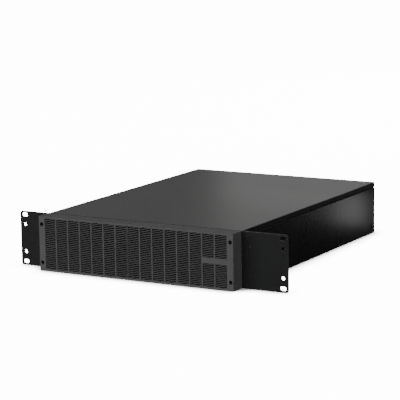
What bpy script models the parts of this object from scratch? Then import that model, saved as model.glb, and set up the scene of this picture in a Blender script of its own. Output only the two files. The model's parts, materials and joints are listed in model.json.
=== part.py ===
"""A 2U rack-mount uninterruptible power supply, modelled as the assembly it comes apart into.

Metres, +Z up, front towards -Y. The world origin is the centre of the footprint of the whole unit.
Pieces are placed in the body frame: X from the middle of the case, Y backwards from the plane of the
rack ears, Z up from the underside. An empty carries that frame into the world.

Run with: blender --background --python part.py
"""

import math

import bmesh
import bpy
from mathutils import Matrix, Vector

MM = 0.001

# Driving dimensions of the whole unit
RACK_WIDTH = 482.6 * MM
BODY_WIDTH = 350 * MM
BODY_HEIGHT = 88 * MM
BODY_DEPTH = 480 * MM
BEZEL_DEPTH = 27 * MM
REAR_PROUD = 8 * MM
EAR_RIGHT = 78 * MM
EAR_LEFT = RACK_WIDTH - BODY_WIDTH - EAR_RIGHT

SHEET = 1.2 * MM
CUT_REACH = 10 * MM
EAR_SHEET = 2.5 * MM
EAR_FLANGE = 40 * MM
GAP = 0.3 * MM

# The body frame in the world
BODY_X = (EAR_LEFT - EAR_RIGHT) / 2
EAR_Y = BEZEL_DEPTH - (BEZEL_DEPTH + BODY_DEPTH + REAR_PROUD) / 2

# Rack hole group of a 2U ear
SLOT_RISE = 38.1 * MM
HOLE_RISE = 22.225 * MM
SLOT_SIZE = (11 * MM, 7 * MM)
HOLE_RADIUS = 3.3 * MM
HOLE_INSET = 8.75 * MM

# Cover flange, and the step that sets the case wall back under it
FLANGE_HEIGHT = 8.3 * MM
FLANGE_STEP = SHEET + GAP

# Bezel grille
COLUMNS_LEFT = 7
COLUMNS_RIGHT = 8
COLUMN_PITCH = 22 * MM
SIDE_STRIP = 10 * MM
TOP_STRIP = 3 * MM
BOTTOM_STRIP = 3.5 * MM
RIB = 2.4 * MM
SEAM = 0.8 * MM
SLOT_PITCH = 20.4 * MM
SLOT_HEIGHT = 15 * MM
SLOT_TILT = math.radians(13)
BEZEL_WALL = 3 * MM
BAR_HEIGHT = 9 * MM
BAR_COLUMNS = 2
SEAM_X = -BODY_WIDTH / 2 + SIDE_STRIP + COLUMNS_LEFT * COLUMN_PITCH
BEZEL_SHELL = 2.5 * MM
BEZEL_SCREW_X = (-BODY_WIDTH / 2 + SIDE_STRIP / 2, BODY_WIDTH / 2 - SIDE_STRIP / 2)
BEZEL_SCREW_RISE = (13.5 * MM, 75 * MM)

# Plate behind the bezel
FRAME_INSET = 0.5 * MM
FRAME_AIR_EDGE = 14 * MM
FRAME_AIR_RISE = (14 * MM, 74 * MM)
FRAME_AIR_TO_DIVIDER = 12 * MM
FRAME_DRAWER_EDGE = 2 * MM
BEZEL_SCREW_SEAT = -8 * MM
SCREW_COLLAR = 4.4 * MM
SCREW_RECESS = 3.1 * MM
SCREW_BORE = 1.9 * MM

# Screws, each by the radius and height of its head and the radius and length of its shank
BEZEL_SCREW = (2.7 * MM, 2 * MM, 1.5 * MM, 13 * MM)
EAR_SCREW = (3 * MM, 1.6 * MM, 1.5 * MM, 6 * MM)
CASE_SCREW = (2.8 * MM, 1.2 * MM, 1.5 * MM, 5.5 * MM)
SCREW_HOLE = 1.8 * MM

# Rack ears: the three screws of a flange by Y and Z, and the handle holes beside the case
EAR_SCREW_PLACES = ((15 * MM, 18 * MM), (15 * MM, 62 * MM), (31 * MM, 40 * MM))
EAR_CORNER = 4 * MM
HANDLE_HOLE = 1.5 * MM
HANDLE_HOLE_NEAR = 8.6 * MM
HANDLE_HOLE_FAR = 13.8 * MM

# Battery bay: the wall beside it, the tray and what lies in it
DIVIDER_X = SEAM_X + 4 * MM
DIVIDER_END = 345 * MM
DIVIDER_FOOT = 9 * MM
TRAY_Y = 14 * MM
TRAY_LENGTH = 322 * MM
TRAY_BACK = TRAY_Y + TRAY_LENGTH
TRAY_LOW_X = DIVIDER_X + SHEET + 2 * MM
TRAY_HIGH_X = BODY_WIDTH / 2 - SHEET - 3 * MM
TRAY_MID_X = (TRAY_LOW_X + TRAY_HIGH_X) / 2
TRAY_Z = SHEET + 1.6 * MM
TRAY_WALL = 48 * MM
TRAY_FRONT_TOP = BODY_HEIGHT - 7 * MM
BATTERY_SIZE = (151 * MM, 94 * MM, 65 * MM)
BATTERY_PITCH = 103 * MM
BATTERY_COUNT = 3
BATTERY_START = TRAY_Y + 4 * MM
BATTERY_LOW_X = TRAY_HIGH_X - SHEET - 1.5 * MM - BATTERY_SIZE[0]
BATTERY_Z = TRAY_Z + SHEET + GAP
BATTERY_LID = 4 * MM
BATTERY_LID_INSET = 1.5 * MM
TAB_WIDTH = 6.4 * MM
TAB_REACH = 6 * MM
TAB_THICK = 1 * MM
TAB_INSET = 12 * MM
TAB_Z = BATTERY_Z + BATTERY_SIZE[2] - 16 * MM

# Battery leads and the drawer's blind-mating connector
CABLE_RADIUS = 1.8 * MM
CABLE_BEND = 3 * MM
CABLE_LAYER = 5 * MM
CABLE_SETBACK = 4.5 * MM
CABLE_LANE = BATTERY_LOW_X - 7 * MM
PLUG_Z = TAB_Z - 2.5 * CABLE_LAYER
PLUG_DEPTH = 9 * MM
PLUG_HALF = (6 * MM, 11 * MM)
PLUG_NOSE = (4 * MM, 8 * MM)
PLUG_REACH = 11 * MM
PLUG_PLAY = 0.5 * MM
SOCKET_HALF = (8 * MM, 12 * MM)
SOCKET_START = TRAY_BACK + 4 * MM
SOCKET_DEPTH = 22 * MM

# Drawer handle: a bail that hangs from two lugs
HANDLE_RISE = 62 * MM
HANDLE_REACH = 28 * MM
HANDLE_WIRE = 2.5 * MM
HANDLE_BEND = 7 * MM
HANDLE_PIN = 1.5 * MM
HANDLE_PIN_REACH = 3.2 * MM
HANDLE_EYE = 1.15 * HANDLE_WIRE
HANDLE_PIN_PLAY = 0.05 * MM
HANDLE_PIVOT_Y = TRAY_Y - 3.6 * MM
LUG_X = 48 * MM
LUG_HALF = (1.5 * MM, 4 * MM)
LUG_REACH = 6 * MM
HANDLE_LEG_X = LUG_X - 4.5 * MM

# Circuit boards and what stands on them
BOARD_LOW = (-BODY_WIDTH / 2 + 7 * MM, 40 * MM)
BOARD_HIGH = (DIVIDER_X - 13 * MM, 420 * MM)
BOARD_MID_X = (BOARD_LOW[0] + BOARD_HIGH[0]) / 2
BOARD_Z = 8 * MM
BOARD_THICK = 1.6 * MM
BOARD_TOP = BOARD_Z + BOARD_THICK
BOARD_SEAT = BOARD_TOP + GAP
POST_INSET = 6 * MM
POST_RADIUS = 3 * MM
POST_X = (BOARD_LOW[0] + POST_INSET, BOARD_HIGH[0] - POST_INSET)
POST_Y = (BOARD_LOW[1] + POST_INSET, BOARD_HIGH[1] - POST_INSET)
CONTROL_X = BOARD_HIGH[0] - 14 * MM
CONTROL_Y = (60 * MM, 190 * MM)
CONTROL_TOP = BOARD_TOP + 60 * MM
CHIPS = ((80 * MM, 18 * MM), (120 * MM, 12 * MM), (150 * MM, 22 * MM))
CHIP_RISE = 18 * MM
CHIP_THICK = 2.5 * MM
HEATSINK_X = BOARD_LOW[0] + 4 * MM
HEATSINK_RUNS = ((70 * MM, 180 * MM), (195 * MM, 290 * MM))
HEATSINK_TOP = BODY_HEIGHT - 12 * MM
HEATSINK_BASE = 5 * MM
FIN_REACH = 24 * MM
FIN_THICK = 1.8 * MM
FIN_COUNT = 8
CAPACITOR_X = BOARD_MID_X + 14 * MM
CAPACITOR_ROWS = (215 * MM, 255 * MM)
CAPACITOR_SIZE = (15 * MM, 45 * MM)
TRANSFORMER_PLACE = (BOARD_MID_X - 6 * MM, 318 * MM)
CORE_SIZE = (54 * MM, 24 * MM, 46 * MM)
CORE_LIMB = 9 * MM
COIL_HALF = (16 * MM, 20 * MM)
CHOKE_ROW = 375 * MM
CHOKE_X = (BOARD_MID_X - 30 * MM, BOARD_MID_X + 26 * MM)
CHOKE_RING = (15 * MM, 7.5 * MM)
CHOKE_RISE = 24 * MM
CHOKE_FOOT = (10 * MM, 9 * MM, 5 * MM)

# Rear panel
REAR_FACE = BODY_DEPTH - SHEET
REAR_SCREW = (BODY_DEPTH - 11 * MM, 12 * MM)
REAR_SIDE = BODY_WIDTH / 2 - SHEET - FLANGE_STEP - GAP
REAR_TAB = (16 * MM, 6 * MM, 20 * MM)

# Fans in the rear panel
FAN_SIZE = 70 * MM
FAN_DEPTH = 25 * MM
FAN_BORE = 33 * MM
FAN_CORNER = 3 * MM
FAN_X = (-BODY_WIDTH / 2 + 42 * MM, -BODY_WIDTH / 2 + 117 * MM)
FAN_Z = 44 * MM
FAN_BACK = REAR_FACE - SHEET - GAP
FAN_FRONT = FAN_BACK - FAN_DEPTH
FAN_HUB = 15 * MM
FAN_STRUT_INSET = 2.2 * MM
FAN_STRUT_BITE = 2 * MM
FAN_MOTOR_DEPTH = 4 * MM
FAN_BEARING = (6 * MM, 1.2 * MM)
FAN_STRUTS = 3
STRUT_SIZE = (3 * MM, 4 * MM)
FAN_SHAFT = 1.5 * MM
SHAFT_REACH = 3 * MM
SHAFT_CLEAR = 0.08 * MM
ROTOR_FRONT = FAN_FRONT + 1.5 * MM
ROTOR_BACK = FAN_BACK - 5 * MM
BLADE_COUNT = 7
BLADE_TIP = FAN_BORE - 1.5 * MM
BLADE_THICK = 1.3 * MM
BLADE_SWEEP = 0.35
BLADE_PITCH = (math.radians(48), math.radians(30))
BLADE_CHORD = (13 * MM, 20 * MM)
BLADE_STATIONS = 2
GUARD_RINGS = (14 * MM, 28 * MM)
GUARD_WIRE = 0.9 * MM
GUARD_Y = REAR_FACE + 3.2 * MM
SPOKE_Y = GUARD_Y - 1.2 * MM
EYE_RADIUS = 3 * MM
EYE_REACH = 30 * MM * math.sqrt(2)

# Fittings in the rear panel, each by the place and the outer size of its rim
INLET = {"x": 146 * MM, "z": 24 * MM, "size": (30 * MM, 27 * MM)}
OUTLETS = {"x": 52 * MM, "z": 24 * MM, "size": (124 * MM, 30 * MM)}
SWITCH = {"x": 158 * MM, "z": 66 * MM, "size": (15 * MM, 22 * MM)}
BREAKER = {"x": 136 * MM, "z": 66 * MM, "radius": 7 * MM}
SLOT = {"x": 82 * MM, "z": 66 * MM, "size": (76 * MM, 30 * MM)}
PORTS = {"x": 17 * MM, "z": 66 * MM, "size": (46 * MM, 24 * MM)}
EXPANSION = {"x": -17 * MM, "z": 24 * MM, "size": (14 * MM, 32 * MM)}
GROUND = {"x": -17 * MM, "z": 72 * MM}
STUD_RADIUS = 2.1 * MM
STUD_BORE = 2.4 * MM
STUD_TOP = 7 * MM
STUD_FOOT = -6 * MM
STUD_CHAMFER = 0.4 * MM
NUT_RADIUS = 4.2 * MM
NUT_TOP = 3.6 * MM
RIM = 1.6 * MM
FIT = 0.4 * MM

# Mains connectors: the half sizes of the openings, and the pins and slots by X and Z
INLET_HALF = (12 * MM, 8.25 * MM)
INLET_DEPTH = 15 * MM
INLET_PINS = ((-7 * MM, -2 * MM), (0, 2 * MM), (7 * MM, -2 * MM))
PIN_HALF = (1 * MM, 2 * MM)
OUTLET_COUNT = 4
OUTLET_PITCH = 30 * MM
OUTLET_PROUD = 3 * MM
MOAT_HALF = (12.5 * MM, 8.75 * MM)
MOAT_DEPTH = 15 * MM
BLOCK_HALF = (10 * MM, 6.25 * MM)
OUTLET_SLOTS = ((-7 * MM, 2 * MM), (0, -2 * MM), (7 * MM, 2 * MM))
SLOT_HALF = (1.2 * MM, 2.4 * MM)

# Switch, breaker, ports and thumbscrews
SWITCH_WELL = (4.6 * MM, 8 * MM, 10 * MM)
PIVOT_Y = REAR_FACE - 0.5 * MM
ROCKER_HALF_WIDTH = 4.2 * MM
ROCKER_HALF_HEIGHT = 6.6 * MM
ROCKER_FOOT = 3 * MM
ROCKER_DEPTH = 5 * MM
ROCKER_SHOULDER = MM
ROCKER_LOW_EDGE = 2.2 * MM
ROCKER_DIP = 1.6 * MM
ROCKER_HIGH_EDGE = 4.6 * MM
TRUNNION = 1.3 * MM
TRUNNION_REACH = 5.4 * MM
BREAKER_BORE = 3.6 * MM
BUTTON_RADIUS = 3.2 * MM
PORT_DEPTH = 12 * MM
PORT_MOUTHS = (
    ((-20 * MM, -2 * MM), (0.8 * MM, 9 * MM)),
    ((-17 * MM, -5 * MM), (-9.5 * MM, -1.6 * MM)),
    ((3 * MM, 15 * MM), (0.8 * MM, 9 * MM)),
    ((3 * MM, 15 * MM), (-9.5 * MM, -1.6 * MM)),
)
CONTACT_RISE = 7 * MM
CONTACT_HALF = (4.2 * MM, 5.2 * MM)
THUMBSCREW_INSET = 6 * MM
THUMBSCREW_SHANK = 1.5 * MM
THUMBSCREW_HEAD = 3.4 * MM

# Angle past which an edge of a round piece stays sharp
SHARP = math.radians(35)


def start_scene():
    """An empty scene with one collection for the parts and one for the cutters."""
    for obj in list(bpy.data.objects):
        bpy.data.objects.remove(obj)
    parts = bpy.data.collections.new("uninterruptible_power_supply")
    cutters = bpy.data.collections.new("cutters")
    for collection in (parts, cutters):
        bpy.context.scene.collection.children.link(collection)
    frame = bpy.data.objects.new("body_frame", None)
    frame.location = (BODY_X, EAR_Y, 0)
    parts.objects.link(frame)
    return parts, cutters, frame


PARTS, CUTTERS, FRAME = start_scene()


def material(name, colour, roughness, metallic=0.0):
    made = bpy.data.materials.new(name)
    made.use_nodes = True
    shader = made.node_tree.nodes["Principled BSDF"]
    shader.inputs["Base Color"].default_value = (*colour, 1)
    shader.inputs["Roughness"].default_value = roughness
    shader.inputs["Metallic"].default_value = metallic
    return made


BLACK_PAINT = material("black_paint", (0.028, 0.027, 0.027), 0.35)
EAR_PAINT = material("ear_paint", (0.016, 0.016, 0.018), 0.45)
BEZEL_PLASTIC = material("bezel_plastic", (0.055, 0.055, 0.056), 0.5)
BLACK_PLASTIC = material("black_plastic", (0.012, 0.012, 0.012), 0.5)
ZINC_STEEL = material("zinc_steel", (0.55, 0.56, 0.57), 0.35, 0.9)
DARK_STEEL = material("dark_steel", (0.05, 0.05, 0.05), 0.35, 0.8)
ALUMINIUM = material("aluminium", (0.72, 0.73, 0.74), 0.35, 1.0)
BOARD_GREEN = material("board_green", (0.02, 0.14, 0.06), 0.45)
BATTERY_GREY = material("battery_case", (0.14, 0.15, 0.16), 0.6)
COPPER = material("copper_winding", (0.55, 0.22, 0.08), 0.35, 0.8)
CABLE_RED = material("cable_red", (0.45, 0.02, 0.02), 0.5)
SLEEVE_BLUE = material("capacitor_sleeve", (0.03, 0.05, 0.12), 0.35)


def finish(name, mesh, paint, smooth=False):
    """A mesh as a named part in the body frame."""
    obj = bpy.data.objects.new(name, mesh)
    PARTS.objects.link(obj)
    obj.parent = FRAME
    if paint:
        mesh.materials.append(paint)
    if smooth:
        mesh.shade_smooth()
        mesh.set_sharp_from_angle(angle=SHARP)
    return obj


def to_mesh(bm, name):
    bmesh.ops.recalc_face_normals(bm, faces=bm.faces)
    mesh = bpy.data.meshes.new(name)
    bm.to_mesh(mesh)
    bm.free()
    return mesh


def helper(obj):
    """Makes a part into a cutter or a join that isn't drawn itself."""
    PARTS.objects.unlink(obj)
    CUTTERS.objects.link(obj)
    obj.hide_render = True
    obj.display_type = "WIRE"
    return obj


def cuboid(bm, low, high):
    """Adds a box between two corners to bm and returns its vertices."""
    low, high = Vector(low), Vector(high)
    size = high - low
    place = Matrix.Translation((low + high) / 2) @ Matrix.Diagonal((*size, 1))
    return bmesh.ops.create_cube(bm, size=1, matrix=place)["verts"]


def rod(bm, start, end, radius, sides=16):
    """Adds a cylinder between two points to bm and returns its vertices."""
    start, end = Vector(start), Vector(end)
    turn = (end - start).to_track_quat("Z", "Y").to_matrix().to_4x4()
    place = Matrix.Translation((start + end) / 2) @ turn
    made = bmesh.ops.create_cone(
        bm,
        cap_ends=True,
        segments=sides,
        radius1=radius,
        radius2=radius,
        depth=(end - start).length,
        matrix=place,
    )
    return made["verts"]


def box(name, low, high, paint, round_along=None, radius=0.0, segments=2):
    """A box, with the edges that run along one axis rounded if asked."""
    bm = bmesh.new()
    cuboid(bm, low, high)
    if round_along is not None:
        edges = [
            edge
            for edge in bm.edges
            if abs((edge.verts[0].co - edge.verts[1].co).normalized()[round_along]) > 0.9
        ]
        bmesh.ops.bevel(
            bm, geom=edges, offset=radius, segments=segments, affect="EDGES", profile=0.5
        )
    return finish(name, to_mesh(bm, name), paint)


def as_mesh(obj, name, paint):
    """Replaces a curve or a modified object by its welded mesh, round where it turns."""
    bpy.context.view_layer.update()
    graph = bpy.context.evaluated_depsgraph_get()
    mesh = bpy.data.meshes.new_from_object(obj.evaluated_get(graph))
    place = obj.matrix_world.copy()
    bpy.data.objects.remove(obj)
    bm = bmesh.new()
    bm.from_mesh(mesh)
    bmesh.ops.remove_doubles(bm, verts=bm.verts, dist=0.00001)
    bmesh.ops.recalc_face_normals(bm, faces=bm.faces)
    bm.to_mesh(mesh)
    bm.free()
    mesh.name = name
    mesh.materials.clear()
    made = finish(name, mesh, paint, smooth=True)
    made.matrix_world = place
    return made


def turned(name, profile, location, paint, turn=(-math.pi / 2, 0, 0), steps=16):
    """A turned piece: profile holds (radius, height) from the top of its axis to the bottom."""
    bm = bmesh.new()
    points = [bm.verts.new((radius, 0, height)) for radius, height in profile]
    for first, second in zip(points, points[1:]):
        bm.edges.new((first, second))
    mesh = bpy.data.meshes.new(name)
    bm.to_mesh(mesh)
    bm.free()
    outline = finish(name + "_profile", mesh, None)
    screw = outline.modifiers.new("Turn", "SCREW")
    screw.steps = steps
    screw.render_steps = steps
    screw.use_merge_vertices = True
    screw.merge_threshold = 0.00001
    outline.location = location
    outline.rotation_euler = turn
    return as_mesh(outline, name, paint)


def change(obj, operation, other, use_self=False):
    """Cuts obj by another object, or joins the other to it, and hides the other."""
    modifier = obj.modifiers.new(operation.title(), "BOOLEAN")
    modifier.operation = operation
    modifier.use_self = use_self
    modifier.object = helper(other)


def shapes(name, boxes=(), rods=(), sides=12):
    """Boxes, each by two corners, and rods, each by two ends and a radius, as one helper mesh."""
    bm = bmesh.new()
    for low, high in boxes:
        cuboid(bm, low, high)
    for start, end, radius in rods:
        rod(bm, start, end, radius, sides)
    return finish(name, to_mesh(bm, name), None)


def cut_boxes(obj, boxes):
    change(obj, "DIFFERENCE", shapes(obj.name + "_cut", boxes=boxes))


def cut_rods(obj, rods, sides=12):
    change(obj, "DIFFERENCE", shapes(obj.name + "_hole", rods=rods, sides=sides))


def join_shapes(obj, boxes=(), rods=(), sides=12):
    """Joins boxes and rods, which don't meet each other, to obj."""
    change(obj, "UNION", shapes(obj.name + "_join", boxes, rods, sides))


def around(x, z, half, y_start, y_end):
    """The two corners of a box round a point of the rear panel, by its half width and height."""
    return (x - half[0], y_start, z - half[1]), (x + half[0], y_end, z + half[1])


def folded_sheet(name, profile, y_start, y_end, paint, inwards=1):
    """Sheet metal: an open profile in X and Z, run along Y and thickened to the inside."""
    bm = bmesh.new()
    rows = [
        [bm.verts.new((x, y, z)) for x, z in profile] for y in (y_start, y_end)
    ]
    for i in range(len(profile) - 1):
        bm.faces.new((rows[0][i], rows[0][i + 1], rows[1][i + 1], rows[1][i]))
    mesh = bpy.data.meshes.new(name)
    bm.to_mesh(mesh)
    bm.free()
    obj = finish(name, mesh, paint)
    solidify = obj.modifiers.new("Thickness", "SOLIDIFY")
    solidify.thickness = SHEET
    solidify.offset = inwards
    solidify.use_even_offset = True
    return obj


def flat_curve(name, outline, thickness):
    """A filled outline, as thick as asked, in its own X and Y."""
    curve = bpy.data.curves.new(name, "CURVE")
    curve.dimensions = "2D"
    curve.fill_mode = "BOTH"
    curve.extrude = thickness / 2
    spline = curve.splines.new("POLY")
    spline.points.add(len(outline) - 1)
    spline.use_cyclic_u = True
    for target, (across, up) in zip(spline.points, outline):
        target.co = (across, up, 0, 1)
    obj = bpy.data.objects.new(name + "_outline", curve)
    PARTS.objects.link(obj)
    obj.parent = FRAME
    return obj


def prism(name, outline, y_start, y_end, paint):
    """An outline in X and Z, as thick as the run from one Y to the other."""
    obj = flat_curve(name, outline, abs(y_end - y_start))
    obj.location = (0, (y_start + y_end) / 2, 0)
    obj.rotation_euler = (math.pi / 2, 0, 0)
    return as_mesh(obj, name, paint)


def wire(name, points, radius, paint, resolution=1):
    """A round wire along points, with closed ends."""
    curve = bpy.data.curves.new(name, "CURVE")
    curve.dimensions = "3D"
    curve.bevel_depth = radius
    curve.bevel_resolution = resolution
    curve.use_fill_caps = True
    spline = curve.splines.new("POLY")
    spline.points.add(len(points) - 1)
    for target, point in zip(spline.points, points):
        target.co = (*point, 1)
    obj = bpy.data.objects.new(name, curve)
    PARTS.objects.link(obj)
    obj.parent = FRAME
    curve.materials.append(paint)
    return obj


def torus(name, centre, radii, steps, sides, paint):
    """A ring round an axis along Y, by its radius and that of its section."""
    bpy.ops.mesh.primitive_torus_add(
        major_radius=radii[0],
        minor_radius=radii[1],
        major_segments=steps,
        minor_segments=sides,
    )
    ring = bpy.context.object
    mesh = ring.data
    bpy.data.objects.remove(ring)
    obj = finish(name, mesh, paint, smooth=True)
    obj.location = centre
    obj.rotation_euler = (math.pi / 2, 0, 0)
    return obj


def rounded_route(corners, radius, steps=3):
    """The corners of a route, each eased by an arc-like run of points."""
    route = [Vector(corners[0])]
    for before, corner, after in zip(corners, corners[1:], corners[2:]):
        before, corner, after = Vector(before), Vector(corner), Vector(after)
        enter = corner + (before - corner).normalized() * radius
        leave = corner + (after - corner).normalized() * radius
        for step in range(steps + 1):
            t = step / steps
            route.append(enter.lerp(corner, t).lerp(corner.lerp(leave, t), t))
    route.append(Vector(corners[-1]))
    return route


# ---------------------------------------------------------------- case


def chassis_base():
    """Floor and both walls, folded from one sheet, with posts for the circuit boards."""
    side = BODY_WIDTH / 2
    step_z = BODY_HEIGHT - FLANGE_HEIGHT - GAP
    top = BODY_HEIGHT - SHEET - GAP
    half = [
        (side - FLANGE_STEP, top),
        (side - FLANGE_STEP, step_z),
        (side, step_z - FLANGE_STEP),
        (side, 0),
    ]
    profile = half + [(-x, z) for x, z in reversed(half)]
    base = folded_sheet(
        "chassis_base", profile, SHEET + 2 * GAP, BODY_DEPTH, BLACK_PAINT, inwards=-1
    )
    posts = [
        ((x, y, SHEET / 2), (x, y, BOARD_Z - GAP), POST_RADIUS)
        for x in POST_X
        for y in POST_Y
    ]
    join_shapes(base, rods=posts, sides=8)
    reach = 4 * MM
    holes = [
        ((sign * (side - reach), y, z), (sign * (side + reach), y, z), SCREW_HOLE)
        for sign in (-1, 1)
        for y, z in (*EAR_SCREW_PLACES, REAR_SCREW)
    ]
    cut_rods(base, holes, sides=8)
    return base


def top_cover():
    """The lid: a flat sheet with a short flange down each side."""
    side = BODY_WIDTH / 2
    profile = [
        (side, BODY_HEIGHT - FLANGE_HEIGHT),
        (side, BODY_HEIGHT),
        (-side, BODY_HEIGHT),
        (-side, BODY_HEIGHT - FLANGE_HEIGHT),
    ]
    return folded_sheet(
        "top_cover", profile, SHEET + 2 * GAP, BODY_DEPTH, BLACK_PAINT, inwards=1
    )


def front_frame():
    """The plate behind the bezel, open to the fans' air on the left and to the drawer on the right."""
    inset = FRAME_INSET
    side = BODY_WIDTH / 2 - inset
    plate = box(
        "front_frame",
        (-side, 0, inset),
        (side, SHEET, BODY_HEIGHT - inset),
        BLACK_PAINT,
    )
    reach = CUT_REACH / 2
    air_low, air_high = FRAME_AIR_RISE
    air = (
        (-side + FRAME_AIR_EDGE, -reach, air_low),
        (DIVIDER_X - FRAME_AIR_TO_DIVIDER, reach, air_high),
    )
    drawer = (
        (DIVIDER_X + SHEET + GAP, -reach, FRAME_DRAWER_EDGE),
        (side - FRAME_DRAWER_EDGE, reach, BODY_HEIGHT - 2 * FRAME_DRAWER_EDGE),
    )
    cut_boxes(plate, [air, drawer])
    holes = [
        ((x, -reach, z), (x, reach, z), SCREW_BORE)
        for x in BEZEL_SCREW_X
        for z in BEZEL_SCREW_RISE
    ]
    cut_rods(plate, holes, sides=8)
    return plate


def bay_divider():
    """The wall between the battery bay and the power electronics, with a foot to screw it down."""
    floor = SHEET + GAP
    profile = [
        (DIVIDER_X - DIVIDER_FOOT, floor),
        (DIVIDER_X, floor),
        (DIVIDER_X, BODY_HEIGHT - SHEET - 2 * GAP),
    ]
    return folded_sheet(
        "bay_divider", profile, 3 * MM, DIVIDER_END, ZINC_STEEL, inwards=1
    )


# ---------------------------------------------------------------- bezel


def bezel(name, x_low, x_high, columns, first_column, screw_x, bar=None):
    """One half of the bezel: an open-backed cap whose face is columns of slanted slots."""
    low = (x_low, -BEZEL_DEPTH, 0)
    high = (x_high, -GAP, BODY_HEIGHT)
    cap = box(name, low, high, BEZEL_PLASTIC, round_along=1, radius=0.8 * MM, segments=1)
    hollow = (
        (x_low + BEZEL_SHELL, -BEZEL_DEPTH + BEZEL_WALL, BEZEL_SHELL),
        (x_high - BEZEL_SHELL, BEZEL_DEPTH, BODY_HEIGHT - BEZEL_SHELL),
    )
    cut_boxes(cap, [hollow])
    change(cap, "DIFFERENCE", slot_cutter(name, columns, first_column, bar))

    def bores(y_start, y_end, radius):
        return [((screw_x, y_start, z), (screw_x, y_end, z), radius) for z in BEZEL_SCREW_RISE]

    join_shapes(cap, rods=bores(-BEZEL_DEPTH + BEZEL_WALL / 2, -2 * GAP, SCREW_COLLAR))
    cut_rods(cap, bores(-2 * BEZEL_DEPTH, BEZEL_SCREW_SEAT, SCREW_RECESS))
    cut_rods(cap, bores(2 * BEZEL_SCREW_SEAT, BEZEL_DEPTH, SCREW_BORE))
    return cap


def slot_cutter(name, columns, first_column, bar):
    """Slanted slots in every column, trimmed level at the strips above and below, and at the bar."""
    bottom, top = BOTTOM_STRIP, BODY_HEIGHT - TOP_STRIP
    opening = COLUMN_PITCH - RIB
    rise = opening * math.tan(SLOT_TILT)
    face_y = -BEZEL_DEPTH
    bm = bmesh.new()
    for column in range(columns):
        x_mid = first_column + (column + 0.5) * COLUMN_PITCH
        spans = [(bottom, top)]
        if bar and column in bar["columns"]:
            spans = [(bottom, bar["low"]), (bar["high"], top)]
        for low, high in spans:
            count = math.ceil((high - low + rise) / SLOT_PITCH)
            for row in range(count + 1):
                z = low - rise / 2 + row * SLOT_PITCH
                add_slot(bm, x_mid, opening, face_y, z, rise, low, high)
    return finish(name + "_slots", to_mesh(bm, "slots"), None)


def add_slot(bm, x_mid, width, face_y, z, rise, low, high):
    """One slot's cutter: a box sheared so that it rises to the right, kept between two heights."""
    depth = 2 * BEZEL_WALL
    start = (x_mid - width / 2, face_y - BEZEL_WALL / 2, z - SLOT_HEIGHT / 2)
    end = (x_mid + width / 2, face_y - BEZEL_WALL / 2 + depth, z + SLOT_HEIGHT / 2)
    single = bmesh.new()
    for vert in cuboid(single, start, end):
        vert.co.z += rise * (vert.co.x - x_mid) / width
    for height, side in ((low, -1), (high, 1)):
        bmesh.ops.bisect_plane(
            single,
            geom=single.verts[:] + single.edges[:] + single.faces[:],
            plane_co=(0, 0, height),
            plane_no=(0, 0, side),
            clear_outer=True,
        )
        bmesh.ops.holes_fill(single, edges=single.edges[:])
    heights = [vert.co.z for vert in single.verts]
    if heights and max(heights) - min(heights) > SLOT_HEIGHT / 2:
        piece = bpy.data.meshes.new("slot")
        single.to_mesh(piece)
        bm.from_mesh(piece)
        bpy.data.meshes.remove(piece)
    single.free()


def pan_screw(name, seat, facing, sizes):
    """A socket-head screw: its bearing face at the seat, its head facing -Y, +X or -X."""
    head_radius, head, shank_radius, shank = sizes
    socket_radius, socket = 0.45 * head_radius, 0.55 * head
    profile = [
        (0, socket),
        (socket_radius, socket),
        (socket_radius, head),
        (head_radius, head),
        (head_radius, 0),
        (shank_radius, 0),
        (shank_radius, -shank),
        (0, -shank),
    ]
    turns = {
        "-Y": (math.pi / 2, 0, 0),
        "+X": (0, math.pi / 2, 0),
        "-X": (0, -math.pi / 2, 0),
    }
    return turned(name, profile, seat, DARK_STEEL, turn=turns[facing], steps=8)


# ---------------------------------------------------------------- rack ears


def rack_ear(name, side, width):
    """A rack ear bent from one plate: the slotted face, and a flange along the case wall."""
    inner = BODY_WIDTH / 2 + GAP
    outer = BODY_WIDTH / 2 + width
    xs = sorted((side * inner, side * outer))
    bm = bmesh.new()
    cuboid(bm, (xs[0], 0, 0), (xs[1], EAR_SHEET, BODY_HEIGHT))
    corners = [
        edge
        for edge in bm.edges
        if all(abs(vert.co.x - side * outer) < GAP for vert in edge.verts)
        and abs(edge.verts[0].co.y - edge.verts[1].co.y) > GAP
    ]
    bmesh.ops.bevel(bm, geom=corners, offset=EAR_CORNER, segments=4, affect="EDGES", profile=0.5)
    ear = finish(name, to_mesh(bm, name), EAR_PAINT)
    margin = 0.5 * MM
    leg = sorted((side * inner, side * (inner + EAR_SHEET)))
    flange = (
        (leg[0], EAR_SHEET / 2, margin),
        (leg[1], EAR_FLANGE, BODY_HEIGHT - FLANGE_HEIGHT - margin),
    )
    join_shapes(ear, boxes=[flange])
    hole_x = side * (outer - HOLE_INSET)
    half_slot = (SLOT_SIZE[0] - SLOT_SIZE[1]) / 2
    middle = BODY_HEIGHT / 2
    for place, z in (("low", middle - SLOT_RISE), ("high", middle + SLOT_RISE)):
        change(ear, "DIFFERENCE", rack_slot(f"{name}_slot_{place}", hole_x, z, half_slot))
    far = 2 * EAR_SHEET
    holes = [
        ((hole_x, -EAR_SHEET, z), (hole_x, far, z), HOLE_RADIUS)
        for z in (middle - HOLE_RISE, middle + HOLE_RISE)
    ]
    holes += [((x, -EAR_SHEET, z), (x, far, z), HANDLE_HOLE) for x, z in handle_holes(side)]
    for y, z in EAR_SCREW_PLACES:
        holes.append(((side * (inner - far), y, z), (side * (inner + far), y, z), SCREW_HOLE))
    cut_rods(ear, holes)
    return ear


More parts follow.
